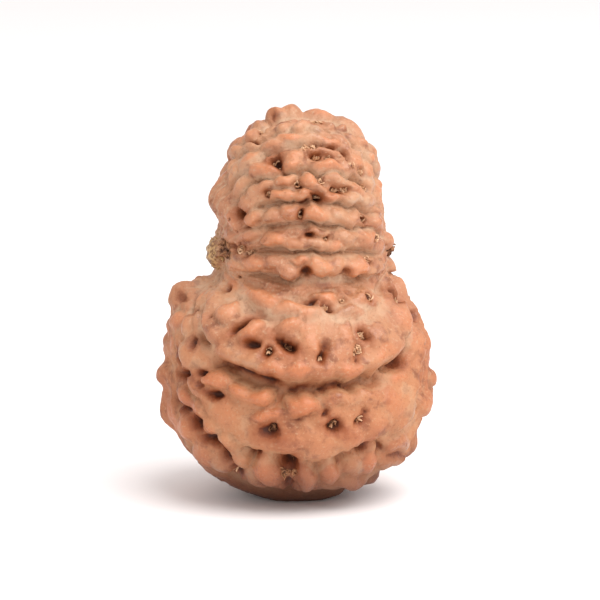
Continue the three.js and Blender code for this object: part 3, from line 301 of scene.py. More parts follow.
# segment, share and place across of the pits that hold fibres, their reach and what they hold
FIBRE_PITS = (
    (0, 0.393, 0.48, 0.3, Remains.SPECK), (0, 0.53, 0.48, 0.42, Remains.RING),
    (2, 0.55, 0.82, 0.42, Remains.TANGLE), (2, 0.587, 0.86, 0.4, Remains.TANGLE),
    (2, 0.503, 0.66, 0.42, Remains.TANGLE), (2, 0.527, 0.82, 0.3, Remains.TANGLE),
    (2, 0.48, 0.6, 0.35, Remains.TANGLE), (2, 0.397, -0.05, 0.52, Remains.RING),
    (2, 0.507, 0.05, 0.45, Remains.TANGLE), (2, 0.543, 0.02, 0.4, Remains.TANGLE),
    (2, 0.603, -0.12, 0.26, Remains.RING), (2, 0.653, 0.32, 0.35, Remains.TANGLE),
    (3, 0.443, 0.25, 0.26, Remains.RING), (3, 0.513, 0.35, 0.26, Remains.RING),
    (3, 0.557, -0.22, 0.42, Remains.TANGLE), (3, 0.59, -0.02, 0.42, Remains.TANGLE),
    (3, 0.497, -0.75, 0.35, Remains.SPECK), (3, 0.35, -0.15, 0.42, Remains.TANGLE),
    (3, 0.67, 0.88, 0.45, Remains.TANGLE), (4, 0.443, -0.18, 0.3, Remains.RING),
    (4, 0.68, -0.05, 0.42, Remains.RING), (5, 0.527, -0.05, 0.24, Remains.SPECK),
    (5, 0.743, 0.38, 0.32, Remains.RING), (5, 0.183, -0.65, 0.7, Remains.TANGLE),
    (6, 0.223, 0.82, 0.4, Remains.TANGLE), (6, 0.7, 0.28, 0.5, Remains.TANGLE),
    (6, 0.06, -0.6, 0.4, Remains.TANGLE), (7, 0.517, -0.82, 0.3, Remains.TANGLE),
    (7, 0.587, -0.55, 0.24, Remains.RING), (7, 0.69, -0.85, 0.46, Remains.RING),
    (8, 0.82, -0.38, 0.55, Remains.TANGLE), (8, 0.37, -0.12, 0.45, Remains.RING),
    (8, 0.37, -0.12, 0.3, Remains.SPECK), (8, 0.487, -0.22, 0.34, Remains.SPECK),
    (8, 0.603, 0.25, 0.45, Remains.TANGLE), (8, 0.577, -0.18, 0.55, Remains.TANGLE),
    (8, 0.413, 0.08, 0.5, Remains.TANGLE), (9, 0.513, 0.05, 0.4, Remains.SPECK),
    (9, 0.557, 0.02, 0.34, Remains.SPECK), (10, 0.26, -0.08, 0.6, Remains.TANGLE),
    (10, 0.33, 0.75, 0.5, Remains.SPECK), (10, 0.38, -0.3, 0.4, Remains.SPECK),
)

# the same, for the hollows low on the bead and beside the left hub, whose fibres are brown
BROWN_PITS = (
    (10, 0.453, 0.82, 0.75, Remains.TANGLE), (10, 0.447, 0.5, 0.5, Remains.TANGLE),
    (10, 0.462, 0.5, 0.5, Remains.TANGLE), (10, 0.33, 0.62, 0.7, Remains.TANGLE),
    (10, 0.297, 0.55, 0.5, Remains.TANGLE), (9, 0.41, -0.08, 0.7, Remains.TANGLE),
    (9, 0.513, 0.05, 0.6, Remains.TANGLE), (5, 0.12, -0.3, 0.6, Remains.TANGLE),
    (5, 0.09, 0.3, 0.5, Remains.TANGLE), (6, 0.12, 0.7, 0.5, Remains.TANGLE),
    (5, 0.93, -0.2, 0.5, Remains.TANGLE), (6, 0.92, 0.4, 0.5, Remains.TANGLE),
    (4, 0.1, -0.4, 0.5, Remains.TANGLE), (9, 0.567, -0.82, 0.5, Remains.TANGLE),
)


def unit(vectors: Array) -> Array:
    """The vectors at length 1."""
    return vectors / np.maximum(np.linalg.norm(vectors, axis=-1, keepdims=True), 1e-12)


def smooth(values: Array) -> Array:
    """A soft step from 0 to 1."""
    x = np.clip(values, 0, 1)
    return x * x * (3 - 2 * x)


def to_row(points: Array) -> Array:
    """Points of the formula, in mm, as points of the part, in metres."""
    return (points - np.array([MIDDLE[0], MIDDLE[1], 0.0])) * MM


def linear(code: str) -> tuple[float, float, float, float]:
    """An sRGB colour as Blender's linear one.

    Args:
        code: six hex digits.

    Returns:
        Red, green, blue and 1.
    """
    parts = [int(code[i:i + 2], 16) / 255 for i in (0, 2, 4)]
    red, green, blue = (c / 12.92 if c <= 0.04045 else ((c + 0.055) / 1.055) ** 2.4 for c in parts)
    return red, green, blue, 1.0


def add_node(tree: bpy.types.NodeTree, kind: str, links: dict, **settings: object) -> bpy.types.Node:
    """Adds a node with its settings and links.

    Args:
        tree: the material's node tree.
        kind: the node's type.
        links: for each input, by name or number, an output socket or a plain value.
        settings: the node's own properties.

    Returns:
        The node.
    """
    made = tree.nodes.new(kind)
    for name, value in settings.items():
        setattr(made, name, value)
    for name, value in links.items():
        if isinstance(value, bpy.types.NodeSocket):
            tree.links.new(value, made.inputs[name])
        else:
            made.inputs[name].default_value = value
    return made


def deselect() -> None:
    """Leaves nothing selected, because the loaded part comes in selected."""
    if bpy.context.object and bpy.context.object.mode != "OBJECT":
        bpy.ops.object.mode_set(mode="OBJECT")
    bpy.ops.object.select_all(action="DESELECT")


def repeatable(seed: int):
    """A source of random numbers from 0 to 1 that gives the same row each run.

    Args:
        seed: where the row starts.

    Returns:
        A function that draws the next number.
    """
    state = seed

    def draw() -> float:
        """The next number."""
        nonlocal state
        state = (state + 0x6D2B79F5) & 0xFFFFFFFF
        mixed = ((state ^ (state >> 15)) * (state | 1)) & 0xFFFFFFFF
        mixed ^= (mixed + (((mixed ^ (mixed >> 7)) * (mixed | 61)) & 0xFFFFFFFF)) & 0xFFFFFFFF
        return ((mixed ^ (mixed >> 14)) & 0xFFFFFFFF) / 4294967296

    return draw


@dataclass
class Placed:
    """Knobs or pits set on the stone, one row of each array per feature."""

    centre: Array
    along: Array
    side: Array
    height: Array
    reach: Array
    polish: Array


@dataclass
class Skin:
    """Height of the knobbly surface over the smooth stone, and what its points belong to, 0 to 1."""

    height: Array
    knob: Array
    polish: Array
    pit: Array
    stain: Array
    groove: Array
    plug: Array


@dataclass
class Stone:
    """The stone's formula: smooth body, grooves, knobs and pits, in mm."""

    axis_height: float = 21.3
    blend: float = 0.8
    centre_down: float = 9.0
    centre_up: float = 3.0
    flat_radius: float = 2.6
    flat_left: float = 0.8
    wander: float = 0.6
    groove_share: float = 0.6
    trough_depth: float = 0.14
    warp: float = 0.15
    crease: float = 0.1
    sunk: float = 1.0
    fillet: float = 0.35
    seed: int = 18
    count: int = 18
    hub_left: float = field(init=False)
    hub_right: float = field(init=False)
    knobs: Placed = field(init=False)
    pits: Placed = field(init=False)
    pads: Placed = field(init=False)

    def __post_init__(self) -> None:
        """Finds the hubs and sets every knob and pit on the stone."""
        axis = np.array([[0.0, 0.0, self.axis_height]] * 2)
        ends = self.cast(axis, np.array([[-1.0, 0, 0], [1.0, 0, 0]]))
        self.hub_left, self.hub_right = ends[0, 0], ends[1, 0]
        more_knobs, more_pits = self.unseen()
        placed = self.place(np.array(KNOBS + tuple(more_knobs), float))
        stubs = self.place_pads(np.array(STUBS, float))
        self.knobs = Placed(*(np.concatenate([getattr(stubs, n), getattr(placed, n)]) for n in (
            "centre", "along", "side", "height", "reach", "polish")))
        self.pads = self.place_pads(np.array(PADS, float))
        self.pits = self.place(np.array(PITS + tuple(more_pits), float))

    def distance(self, points: Array) -> Array:
        """Rough distance of points from the smooth stone, negative inside."""
        total = np.zeros(points.shape[:-1])
        for lobe in LOBES:
            radii = np.array(lobe[3:])
            q = (points - np.array(lobe[:3])) / radii
            far = np.linalg.norm(q, axis=-1)
            steep = np.maximum(np.linalg.norm(q / radii, axis=-1), 1e-9)
            total += np.exp(-far * (far - 1) / steep / self.blend)
        return -self.blend * np.log(total)

    def cast(self, origins: Array, directions: Array) -> Array:
        """Where rays from inside leave the smooth stone."""
        near, far = np.zeros(origins.shape[:-1]), np.full(origins.shape[:-1], 40.0)
        for _ in range(36):
            middle = (near + far) / 2
            inside = self.distance(origins + middle[..., None] * directions) < 0
            near, far = np.where(inside, middle, near), np.where(inside, far, middle)
        return origins + near[..., None] * directions

    def normals(self, points: Array) -> Array:
        """Outward directions of the smooth stone."""
        steps = np.eye(3) * 1e-3
        return unit(np.stack([self.distance(points + s) - self.distance(points - s) for s in steps], -1))

    def surface(self, angle: Array, share: Array) -> Array:
        """Points of the smooth stone.

        Args:
            angle: degrees round the hub axis, 0 in front and 90 above.
            share: share of the way from the left to the right hub.

        Returns:
            The points.
        """
        angle, share = np.broadcast_arrays(np.asarray(angle, float), np.asarray(share, float))
        phi = np.radians(angle)
        out = np.stack([0 * phi, -np.cos(phi), np.sin(phi)], -1)
        away = (self.centre_down * np.maximum(0, -np.sin(phi)) ** 1.5
                + self.centre_up * np.maximum(0, np.sin(phi)) ** 2)
        origin = np.array([0.0, 0.0, self.axis_height]) + away[..., None] * out
        start = np.pi + np.arctan2(away, -self.hub_left)
        turn = start + (-np.arctan2(away, self.hub_right) - start) * share
        ray = np.cos(turn)[..., None] * np.array([1.0, 0, 0]) + np.sin(turn)[..., None] * out
        return self.cast(origin, ray)

    def groove_angle(self, index: Array, share: Array) -> Array:
        """Angle of a groove at a share of the way along, in degrees."""
        table = np.array(GROOVES, float)[np.asarray(index) % self.count]
        left, middle, right = table[..., 0], table[..., 1], table[..., 2]
        stray = np.sin(23 * share + 2.1 * (np.asarray(index) % self.count))
        return (middle + (left - middle) * smooth((0.5 - share) / 0.25)
                + (right - middle) * smooth((share - 0.5) / 0.25)
                - 360.0 * (np.asarray(index) // self.count)
                + self.wander * stray * smooth(np.minimum(share, 1 - share) / 0.2))

    def in_segment(self, segment: Array, share: Array, across: Array) -> Array:
        """Points in segments, across being 1 at the upper groove and -1 at the lower one."""
        upper, lower = self.groove_angle(segment, share), self.groove_angle(segment + 1, share)
        return self.surface(lower + (upper - lower) * (across + 1) / 2, share)

    def half_width(self, segment: Array, share: Array) -> Array:
        """Half the distance between a segment's grooves."""
        segment, share = np.atleast_1d(segment), np.atleast_1d(share)
        both = self.in_segment(np.stack([segment, segment]), np.stack([share, share]),
                               np.array([[1.0], [-1.0]]))
        return np.linalg.norm(both[0] - both[1], axis=-1) / 2

    def warped(self, points: Array) -> Array:
        """Points pushed a little aside, so that nothing on the stone has a ruled outline."""
        x, y, z = points[..., 0], points[..., 1], points[..., 2]
        w = self.warp
        return np.stack([
            x + w * np.sin(2.3 * z + 1.1 * y + 0.4) + 0.4 * w * np.sin(5.3 * y - 2.9 * z),
            y + w * np.sin(2.1 * x - 1.3 * z + 1.9),
            z + w * np.sin(2.6 * x + 1.2 * y + 2.7) + 0.4 * w * np.sin(4.9 * x + 3.1 * z)], -1)

    def place(self, rows: Array) -> Placed:
        """Knobs or pits with their own directions along and across on the stone.

        Args:
            rows: segment, share, across, half length, half width, height and tilt of each.

        Returns:
            The placed features.
        """
        segment, (share, across, length, width, height, tilt) = rows[:, 0].astype(int), rows[:, 1:].T
        centre = self.in_segment(segment, share, across)
        normal = self.normals(centre)
        ahead = self.in_segment(segment, np.minimum(share + 0.01, 0.999), across)
        behind = self.in_segment(segment, np.maximum(share - 0.01, 0.001), across)
        along = unit(ahead - behind)
        side = unit(np.cross(normal, along))
        c, s = np.cos(np.radians(tilt))[:, None], np.sin(np.radians(tilt))[:, None]
        draw = repeatable(self.seed + 1)
        polish = np.array([draw() ** 1.5 for _ in rows])
        for i, row in enumerate(rows):
            if (int(row[0]), round(float(row[1]), 3)) in POLISHED:
                polish[i] = 1.0
        return Placed(self.warped(centre), (along * c + side * s) / length[:, None],
                      (side * c - along * s) / width[:, None], height,
                      2 * np.maximum(length, width), polish)

    def place_pads(self, rows: Array) -> Placed:
        """The larger lumps, placed by x, y and z."""
        centre, half_up, half_side, height = rows[:, :3], rows[:, 3], rows[:, 4], rows[:, 5]
        normal = self.normals(centre)
        side = unit(np.cross(np.array([[0.0, 0.0, 1.0]]), normal))
        up = np.cross(normal, side)
        return Placed(self.warped(centre), up / half_up[:, None], side / half_side[:, None], height,
                      2.2 * np.maximum(half_up, half_side), np.full(len(rows), 0.25))

    def unseen(self) -> tuple[list, list]:
        """Knobs and pits near the hubs and at the back, where no photo shows the stone.

        Returns:
            The rows of the knobs and those of the pits.
        """
        draw = repeatable(self.seed)
        knobs, pits = [], []
        for segment in range(self.count):
            seen = (0.2, 0.8) if segment <= 11 else (0.5, 0.5)
            for row in (0.48, -0.48):
                share = 0.08 + 0.03 * draw()
                while share < 0.92:
                    size = min(1.0, float(self.half_width(segment, share)[0]) / 2.4)
                    length, width = (1.1 + 0.7 * draw()) * math.sqrt(size), (0.75 + 0.45 * draw()) * size
                    lift = (0.3 + 0.4 * draw()) * size
                    lean, drift = 24 * (draw() - 0.5), 0.16 * (draw() - 0.5)
                    if share < seen[0] or share >= seen[1]:
                        knobs.append((segment, share, row + drift, length, width, lift, lean))
                    share += (0.07 + 0.03 * draw()) * math.sqrt(size)
            share = 0.16 + 0.06 * draw()
            while share < 0.88:
                size = (0.35 + 0.45 * draw()) * min(1.0, float(self.half_width(segment, share)[0]) / 2)
                long, drift, lean = 1 + 0.8 * draw(), 0.5 * (draw() - 0.5), 60 * (draw() - 0.5)
                if share < seen[0] or share >= seen[1]:
                    pits.append((segment, share, drift, size * long, size, 0.2 + 1.1 * size, lean))
                share += 0.09 + 0.05 * draw()
        return knobs, pits

    def soft_max(self, a: Array, b: Array) -> Array:
        """The larger of two heights, with a soft corner where they meet."""
        near = np.maximum(0, 1 - np.abs(a - b) / self.fillet)
        return np.maximum(a, b) + near * near * self.fillet * 0.25

    def skin(self, points: Array, segment: Array, across: Array, half: Array, share: Array) -> Skin:
        """Height of the knobbly surface above points of the smooth stone.

        Args:
            points: points of the smooth stone, one per row.
            segment: the segment of each.
            across: its place across the segment.
            half: half the segment's width there.
            share: its share of the way from the left to the right hub.

        Returns:
            The heights, and how much each point belongs to a knob, pit, groove or plug.
        """
        table = np.array([g[3] for g in GROOVES])
        depth = np.minimum(table[np.where(across >= 0, segment, segment + 1) % self.count], 0.62 * half)
        edge = (1 - np.abs(across)) / self.groove_share
        x, y, z = points.T
        height = -depth * smooth(1.15 * (1 - edge))
        height -= self.trough_depth * np.exp(-((across * half / 0.4) ** 2))
        height += 0.07 * np.sin(1.9 * x + 0.8 * z) * np.sin(1.7 * y - 1.3 * z + 0.6)
        height -= self.crease * np.exp(-(((1 - np.abs(across)) * half / 0.18) ** 2))
        height *= smooth(np.minimum(share, 1 - share) / 0.07)
        made = Skin(height, *(np.zeros(len(points)) for _ in range(4)),
                    groove=np.maximum(0, 1 - edge), plug=np.zeros(len(points)))
        q = self.warped(points)
        hang = np.array([DRAPE.get(k, 0.0) for k in range(self.count)])[segment]
        lift = (hang * smooth((1 - across) / 1.5) * (1 - smooth((-across - 0.72) / 0.28))
                * smooth(np.minimum(share, 1 - share) / 0.25))
        for i in range(len(self.pads.height)):
            near, r = self.spread(q, self.pads, i)
            lift[near] += self.pads.height[i] * np.maximum(0, 1 - r) ** 2
        for i in range(len(self.knobs.height)):
            near, r = self.spread(q, self.knobs, i)
            ball = self.knobs.height[i] + self.sunk
            dome = r * (1 - (self.sunk / ball) ** 2)
            on, r, dome = near[dome < 1], r[dome < 1], dome[dome < 1]
            height[on] = self.soft_max(height[on], ball * np.sqrt(1 - dome) - self.sunk)
            rise = smooth(1.15 * (1 - np.clip(r, 0, 1))) * min(1.0, self.knobs.height[i] / 0.35)
            made.polish[on] = np.maximum(made.polish[on], rise * self.knobs.polish[i])
            made.knob[on] = np.maximum(made.knob[on], rise)
            if i == 0:
                made.plug[on] = np.maximum(made.plug[on], smooth(1.6 * (1 - np.clip(r, 0, 1))))
        for i in range(len(self.pits.height)):
            near, r = self.spread(q, self.pits, i)
            deep = min(1.0, self.pits.height[i])
            made.stain[near] = np.maximum(made.stain[near], deep * np.exp(-0.45 * r))
            on, r = near[r < 1], r[r < 1]
            height[on] -= self.pits.height[i] * (1 - r) ** 1.1
            made.pit[on] = np.maximum(made.pit[on], (1 - r) ** 1.1 * min(1.0, self.pits.height[i] / 0.9))
        height = height + lift
        worn = 1 - smooth((np.hypot(x + self.flat_left, y) - self.flat_radius) / 1.2)
        made.height = np.where(z < 4, np.maximum(height, -0.9 + 0.9 * worn) * (1 - worn) + 0.1 * worn, height)
        return made

    def spread(self, points: Array, placed: Placed, index: int) -> tuple[Array, Array]:
        """The points near a feature, and the square of their distance from it, 1 at its outline."""
        away = points - placed.centre[index]
        near = np.flatnonzero((away * away).sum(-1) <= placed.reach[index] ** 2)
        away = away[near]
        return near, (away @ placed.along[index]) ** 2 + (away @ placed.side[index]) ** 2


def texture_noise(points: Array, size: float) -> Array:
    """Smooth noise from about -1 to 1 with lumps of a size in mm."""
    return np.array([noise.noise(Vector(p)) for p in points / size])


@dataclass(frozen=True)
class SeedStone:
    """The finish of the bead: a lignified seed stone, oiled and worn on the knobs, dusty between.

    The woody wall is warm brown and nearly matt. Handling gives the knob tops an orange sheen, pale
    dust stays in the grooves, and the pits are dark brown. The deepest pits and hollows are darkened
    further with painted shade, and painted shade makes the lower half darker and warmer.
    dust stays in the grooves, and the pits are dark where oil has soaked into the fibres.
    """

    wall: str = "A86F4E"
    wall_light: str = "B5825F"
    wall_dark: str = "74422A"
    worn_top: str = "BF7A52"
    dust: str = "BF9B7D"
    stain: str = "8E4A20"          # oil round the mouth of a pit
    pit: str = "743812"
    # painted shade: near black in the deepest pits
    deep_pit_shade: str = "3A1606"
    lower_half_shade_tint: str = "FAE9D8"          # painted shade: a darker, warmer tint multiplied over the stone below 18 mm, in full below 12 mm
    # painted shade: the dark brown that the stone turns towards below 6.5 mm
    underside_shade: str = "4E2819"
    fibre: str = "BC9563"
    fibre_dark: str = "76502C"
    patch_mm: float = 5.0          # broad patches where oil has soaked in
    mottle_mm: float = 1.3         # mottling of the wall
    grain_mm: float = 0.28         # stone cells, drawn about twice as coarse as real ones

    def build(self) -> bpy.types.Material:
        """The material, made of nodes.

        Returns:
            The material.
        """
        material = bpy.data.materials.new("oiled_seed_stone")
        material.use_nodes = True
        tree = material.node_tree
        tree.nodes.clear()
        place = add_node(tree, "ShaderNodeTexCoord", {}).outputs["Object"]
        patch, mottle, grain = (add_node(tree, "ShaderNodeTexNoise", {
            "Vector": place, "Scale": 1 / (size * MM), "Detail": detail, "Roughness": rough,
        }).outputs["Fac"] for size, detail, rough in (
            (self.patch_mm, 3.0, 0.5), (self.mottle_mm, 5.0, 0.6), (self.grain_mm, 4.0, 0.6)))
        knob, polish, pit, stain, groove, hollow, plug = (add_node(
            tree, "ShaderNodeAttribute", {}, attribute_name=name, attribute_type="GEOMETRY").outputs["Fac"]
            for name in ("knob", "polish", "pit", "stain", "groove", "hollow", "plug"))

        def ranged(value, low: float, high: float, start: float = 0.0, end: float = 1.0):
            """A value's share of the way from low to high."""
            return add_node(tree, "ShaderNodeMapRange", {
                "Value": value, "From Min": low, "From Max": high, "To Min": start, "To Max": end,
            }, interpolation_type="SMOOTHSTEP").outputs[0]

        def worked(kind: str, a, b):
            """Two values joined by a sum, product or other operation, kept from 0 to 1."""
            return add_node(tree, "ShaderNodeMath", {0: a, 1: b}, operation=kind, use_clamp=True).outputs[0]

        def mixed(share, under, over):
            """One colour laid over another."""
            return add_node(tree, "ShaderNodeMix", {0: share, 6: under, 7: over},
                            data_type="RGBA").outputs[2]

        colour = mixed(ranged(patch, 0.35, 0.65), linear(self.wall), linear(self.wall_light))
        colour = mixed(worked("MULTIPLY", ranged(mottle, 0.49, 0.68), 0.75), colour, linear(self.wall_dark))
        warm = worked("MULTIPLY", polish, ranged(mottle, 0.3, 0.6, 0.45, 1.0))
        colour = mixed(warm, colour, linear(self.worn_top))
        lying = worked("ADD", worked("MULTIPLY", groove, 0.75), ranged(hollow, 0.5, 0.7, 0.0, 0.45))
        lying = worked("SUBTRACT", lying, ranged(hollow, 0.86, 1.0, 0.0, 0.3))
        lying = worked("SUBTRACT", lying, worked("ADD", worked("MULTIPLY", knob, 0.5), stain))
        dusty = worked("MULTIPLY", lying, ranged(mottle, 0.3, 0.62, 0.35, 1.0))
        bloom = worked("MULTIPLY", ranged(patch, 0.52, 0.64), ranged(mottle, 0.42, 0.56, 0.0, 0.6))
        dusty = worked("MAXIMUM", dusty, worked("SUBTRACT", bloom, worked("ADD", polish, stain)))
        colour = mixed(dusty, colour, linear(self.dust))
        colour = mixed(worked("MULTIPLY", ranged(grain, 0.56, 0.68), 0.6), colour, linear(self.dust))
        colour = mixed(worked("MULTIPLY", ranged(grain, 0.42, 0.32), 0.3), colour, linear(self.wall_dark))
        halo = worked("MULTIPLY", ranged(stain, 0.06, 0.75), ranged(mottle, 0.35, 0.6, 0.5, 0.8))
        colour = mixed(halo, colour, linear(self.stain))
        # pit depth, plus painted shade where the stone lies deepest below the surface around it
        pit_depth_and_painted_shade = worked("ADD", pit, worked("MULTIPLY", ranged(hollow, 0.8, 1.0), 0.15))
        ragged = worked("ADD", pit_depth_and_painted_shade, worked("MULTIPLY", worked("SUBTRACT", grain, 0.5), 1.1))
        # the pits turn their own dark brown; the deepest parts go near black as painted shade
        colour = mixed(ranged(ragged, 0.12, 0.6, 0.0, 0.9), colour, linear(self.pit))
        colour = mixed(ranged(ragged, 0.55, 0.95, 0.0, 0.8), colour, linear(self.deep_pit_shade))
        low = add_node(tree, "ShaderNodeSeparateXYZ", {0: place}).outputs["Z"]
        # painted shade: below 18 mm, and in full below 12 mm, the colour is multiplied by a darker, warmer tint
        colour = mixed(ranged(low, 18.0 * MM, 12.0 * MM), colour, add_node(tree, "ShaderNodeMix", {
            0: 1.0, 6: colour, 7: linear(self.lower_half_shade_tint)}, data_type="RGBA", blend_type="MULTIPLY").outputs[2])
        # painted shade: darker towards the bottom, up to 0.85 of the way to this dark brown where it meets the
        # floor
        colour = mixed(ranged(low, 6.5 * MM, 0.0, 0.0, 0.85), colour, linear(self.underside_shade))
        felt = mixed(ranged(grain, 0.42, 0.6), linear(self.fibre_dark), linear(self.fibre))
        colour = mixed(plug, colour, felt)
        gloss = worked("MULTIPLY", knob, ranged(mottle, 0.35, 0.65, 0.4, 1.0))
        rough = add_node(tree, "ShaderNodeMapRange", {
            "Value": gloss, "To Min": 0.62, "To Max": 0.27}).outputs[0]
        fine = add_node(tree, "ShaderNodeBump", {
            "Height": grain, "Strength": 0.8, "Distance": 0.06 * MM}).outputs[0]
        coarse = add_node(tree, "ShaderNodeBump", {
            "Height": mottle, "Strength": 0.9, "Distance": 0.24 * MM, "Normal": fine}).outputs[0]
        shader = add_node(tree, "ShaderNodeBsdfPrincipled", {
            "Base Color": colour, "Roughness": rough, "Normal": coarse, "IOR": 1.5})
        add_node(tree, "ShaderNodeOutputMaterial", {"Surface": shader.outputs[0]})
        return material


@dataclass(frozen=True)
class DriedFibre:
    """The finish of the fibres: dried fruit fibre, matt and pale, with no two strands quite alike."""

    name: str
    pale: str
    deep: str
    patch_mm: float = 0.5          # about one strand to the next

    def build(self) -> bpy.types.Material:
        """The material, made of nodes.

        Returns:
            The material.
        """
        material = bpy.data.materials.new(self.name)
        material.use_nodes = True
        tree = material.node_tree
        tree.nodes.clear()
        place = add_node(tree, "ShaderNodeTexCoord", {}).outputs["Object"]
        patch = add_node(tree, "ShaderNodeTexNoise", {
            "Vector": place, "Scale": 1 / (self.patch_mm * MM), "Detail": 3.0}).outputs["Fac"]
        share = add_node(tree, "ShaderNodeMapRange", {
            "Value": patch, "From Min": 0.38, "From Max": 0.62}).outputs[0]
        colour = add_node(tree, "ShaderNodeMix", {
            0: share, 6: linear(self.deep), 7: linear(self.pale)}, data_type="RGBA").outputs[2]
        bump = add_node(tree, "ShaderNodeBump", {
            "Height": patch, "Strength": 0.3, "Distance": 0.03 * MM}).outputs[0]
        shader = add_node(tree, "ShaderNodeBsdfPrincipled", {
            "Base Color": colour, "Roughness": 0.7, "Normal": bump, "IOR": 1.5})
        add_node(tree, "ShaderNodeOutputMaterial", {"Surface": shader.outputs[0]})
        return material


@dataclass
class FineStone:
    """The stone on a fine mesh: a ball whose rings become the rows from hub to hub."""

    stone: Stone
    front_columns: int = 22        # columns in each of the twelve segments that face front
    back_columns: int = 16         # the same in the six behind
    rows: int = 274
    swell: float = 0.09            # how far the surface strays at knob size, mm
    wrinkle: float = 0.15          # depth of the wrinkles between the knobs, mm
    grain: float = 0.02

    def columns(self) -> tuple[Array, Array]:
        """The segment of each column and its place across it."""
        segment, across = [], []
        for index in range(self.stone.count):
            number = self.front_columns if index < 12 else self.back_columns
            segment += [index] * number
            across += [1 - 2 * i / number for i in range(number)]
        return np.array(segment), np.array(across)

    def build(self, finish: SeedStone) -> bpy.types.Object:
        """Models the stone.

        Args:
            finish: what it is covered with.

        Returns:
            The stone's object.
        """
        segment, across = self.columns()
        count = len(segment)
        deselect()
        bpy.ops.mesh.primitive_uv_sphere_add(segments=count, ring_count=self.rows, radius=1.0)
        ball = bpy.context.object
        ball.name = ball.data.name = "knobbly_stone"
        mesh = ball.data
        co = np.zeros(len(mesh.vertices) * 3)
        mesh.vertices.foreach_get("co", co)
        co = co.reshape(-1, 3)
        row = np.rint(np.arccos(np.clip(co[:, 2], -1, 1)) / np.pi * self.rows).astype(int)
        turn = np.rint(np.arctan2(co[:, 1], co[:, 0]) / (2 * np.pi) * count).astype(int)
        column = (-turn) % count
        share = row / self.rows
        points = self.stone.in_segment(segment[column], share, across[column])
        width = np.zeros((self.rows + 1, self.stone.count))
        for index in range(self.stone.count):
            shares = np.arange(self.rows + 1) / self.rows
            width[:, index] = self.stone.half_width(np.full(self.rows + 1, index), shares)
        normal = self.stone.normals(points)
        skin = self.stone.skin(points, segment[column], across[column], width[row, segment[column]], share)
        height = skin.height + self.wrinkles(points, skin)
        points = points + normal * height[:, None]
        points[:, 2] = np.maximum(points[:, 2], 0)
        mesh.vertices.foreach_set("co", to_row(points).ravel())
        measures = {"knob": skin.knob, "polish": skin.polish, "pit": skin.pit, "stain": skin.stain, "groove": skin.groove,
                    "hollow": self.hollow(height, row, column, count), "plug": skin.plug}
        for name, values in measures.items():
            mesh.attributes.new(name, "FLOAT", "POINT").data.foreach_set("value", values)
        mesh.update()
        bpy.ops.object.shade_smooth()
        mesh.materials.append(finish.build())
        LOG.info("%s: %d faces", ball.name, len(mesh.polygons))
        return ball

    def wrinkles(self, points: Array, skin: Skin) -> Array:
        """Height of the fine relief: a slight swell, ridged wrinkles off the knobs, and grain."""
        swell = self.swell * texture_noise(points, 2.1)
        bent = points + 0.35 * np.stack([texture_noise(points + 7.0, 1.6)] * 3, -1)
        ridge = 0.7 - 2 * np.abs(texture_noise(bent + 31.0, 1.0))
        crinkle = 0.35 * (0.7 - 2 * np.abs(texture_noise(bent + 83.0, 0.42)))
        grain = self.grain * texture_noise(points + 57.0, 0.26)
        felt = 0.25 * texture_noise(points + 11.0, 0.5) * skin.plug
        flat = np.clip((points[:, 2] - 0.3) / 1.5, 0, 1)
        return flat * (swell + self.wrinkle * (ridge + crinkle) * (1 - 0.6 * skin.knob) + grain + felt)

    def hollow(self, height: Array, row: Array, column: Array, count: int) -> Array:
        """How far each point lies below the surface around it, 0.5 where it is level.

        Args:
            height: height of each point above the smooth stone.
            row: its row from hub to hub.
            column: its column round the hub axis.
            count: the number of columns.

        Returns:
            The measure, from 0 on a crest to 1 in a hollow.
        """
        grid = np.zeros((self.rows + 1, count))
        grid[row, column] = height
        grid[0], grid[-1] = grid[0].max(), grid[-1].max()
        around = grid
        for _ in range(5):
            around = (around + np.roll(around, 3, 1) + np.roll(around, -3, 1)) / 3
            padded = np.pad(around, ((2, 2), (0, 0)), mode="edge")
            around = (around + padded[:-4] + padded[4:]) / 3
        return np.clip(0.5 + (around - grid)[row, column] / 0.9, 0, 1)


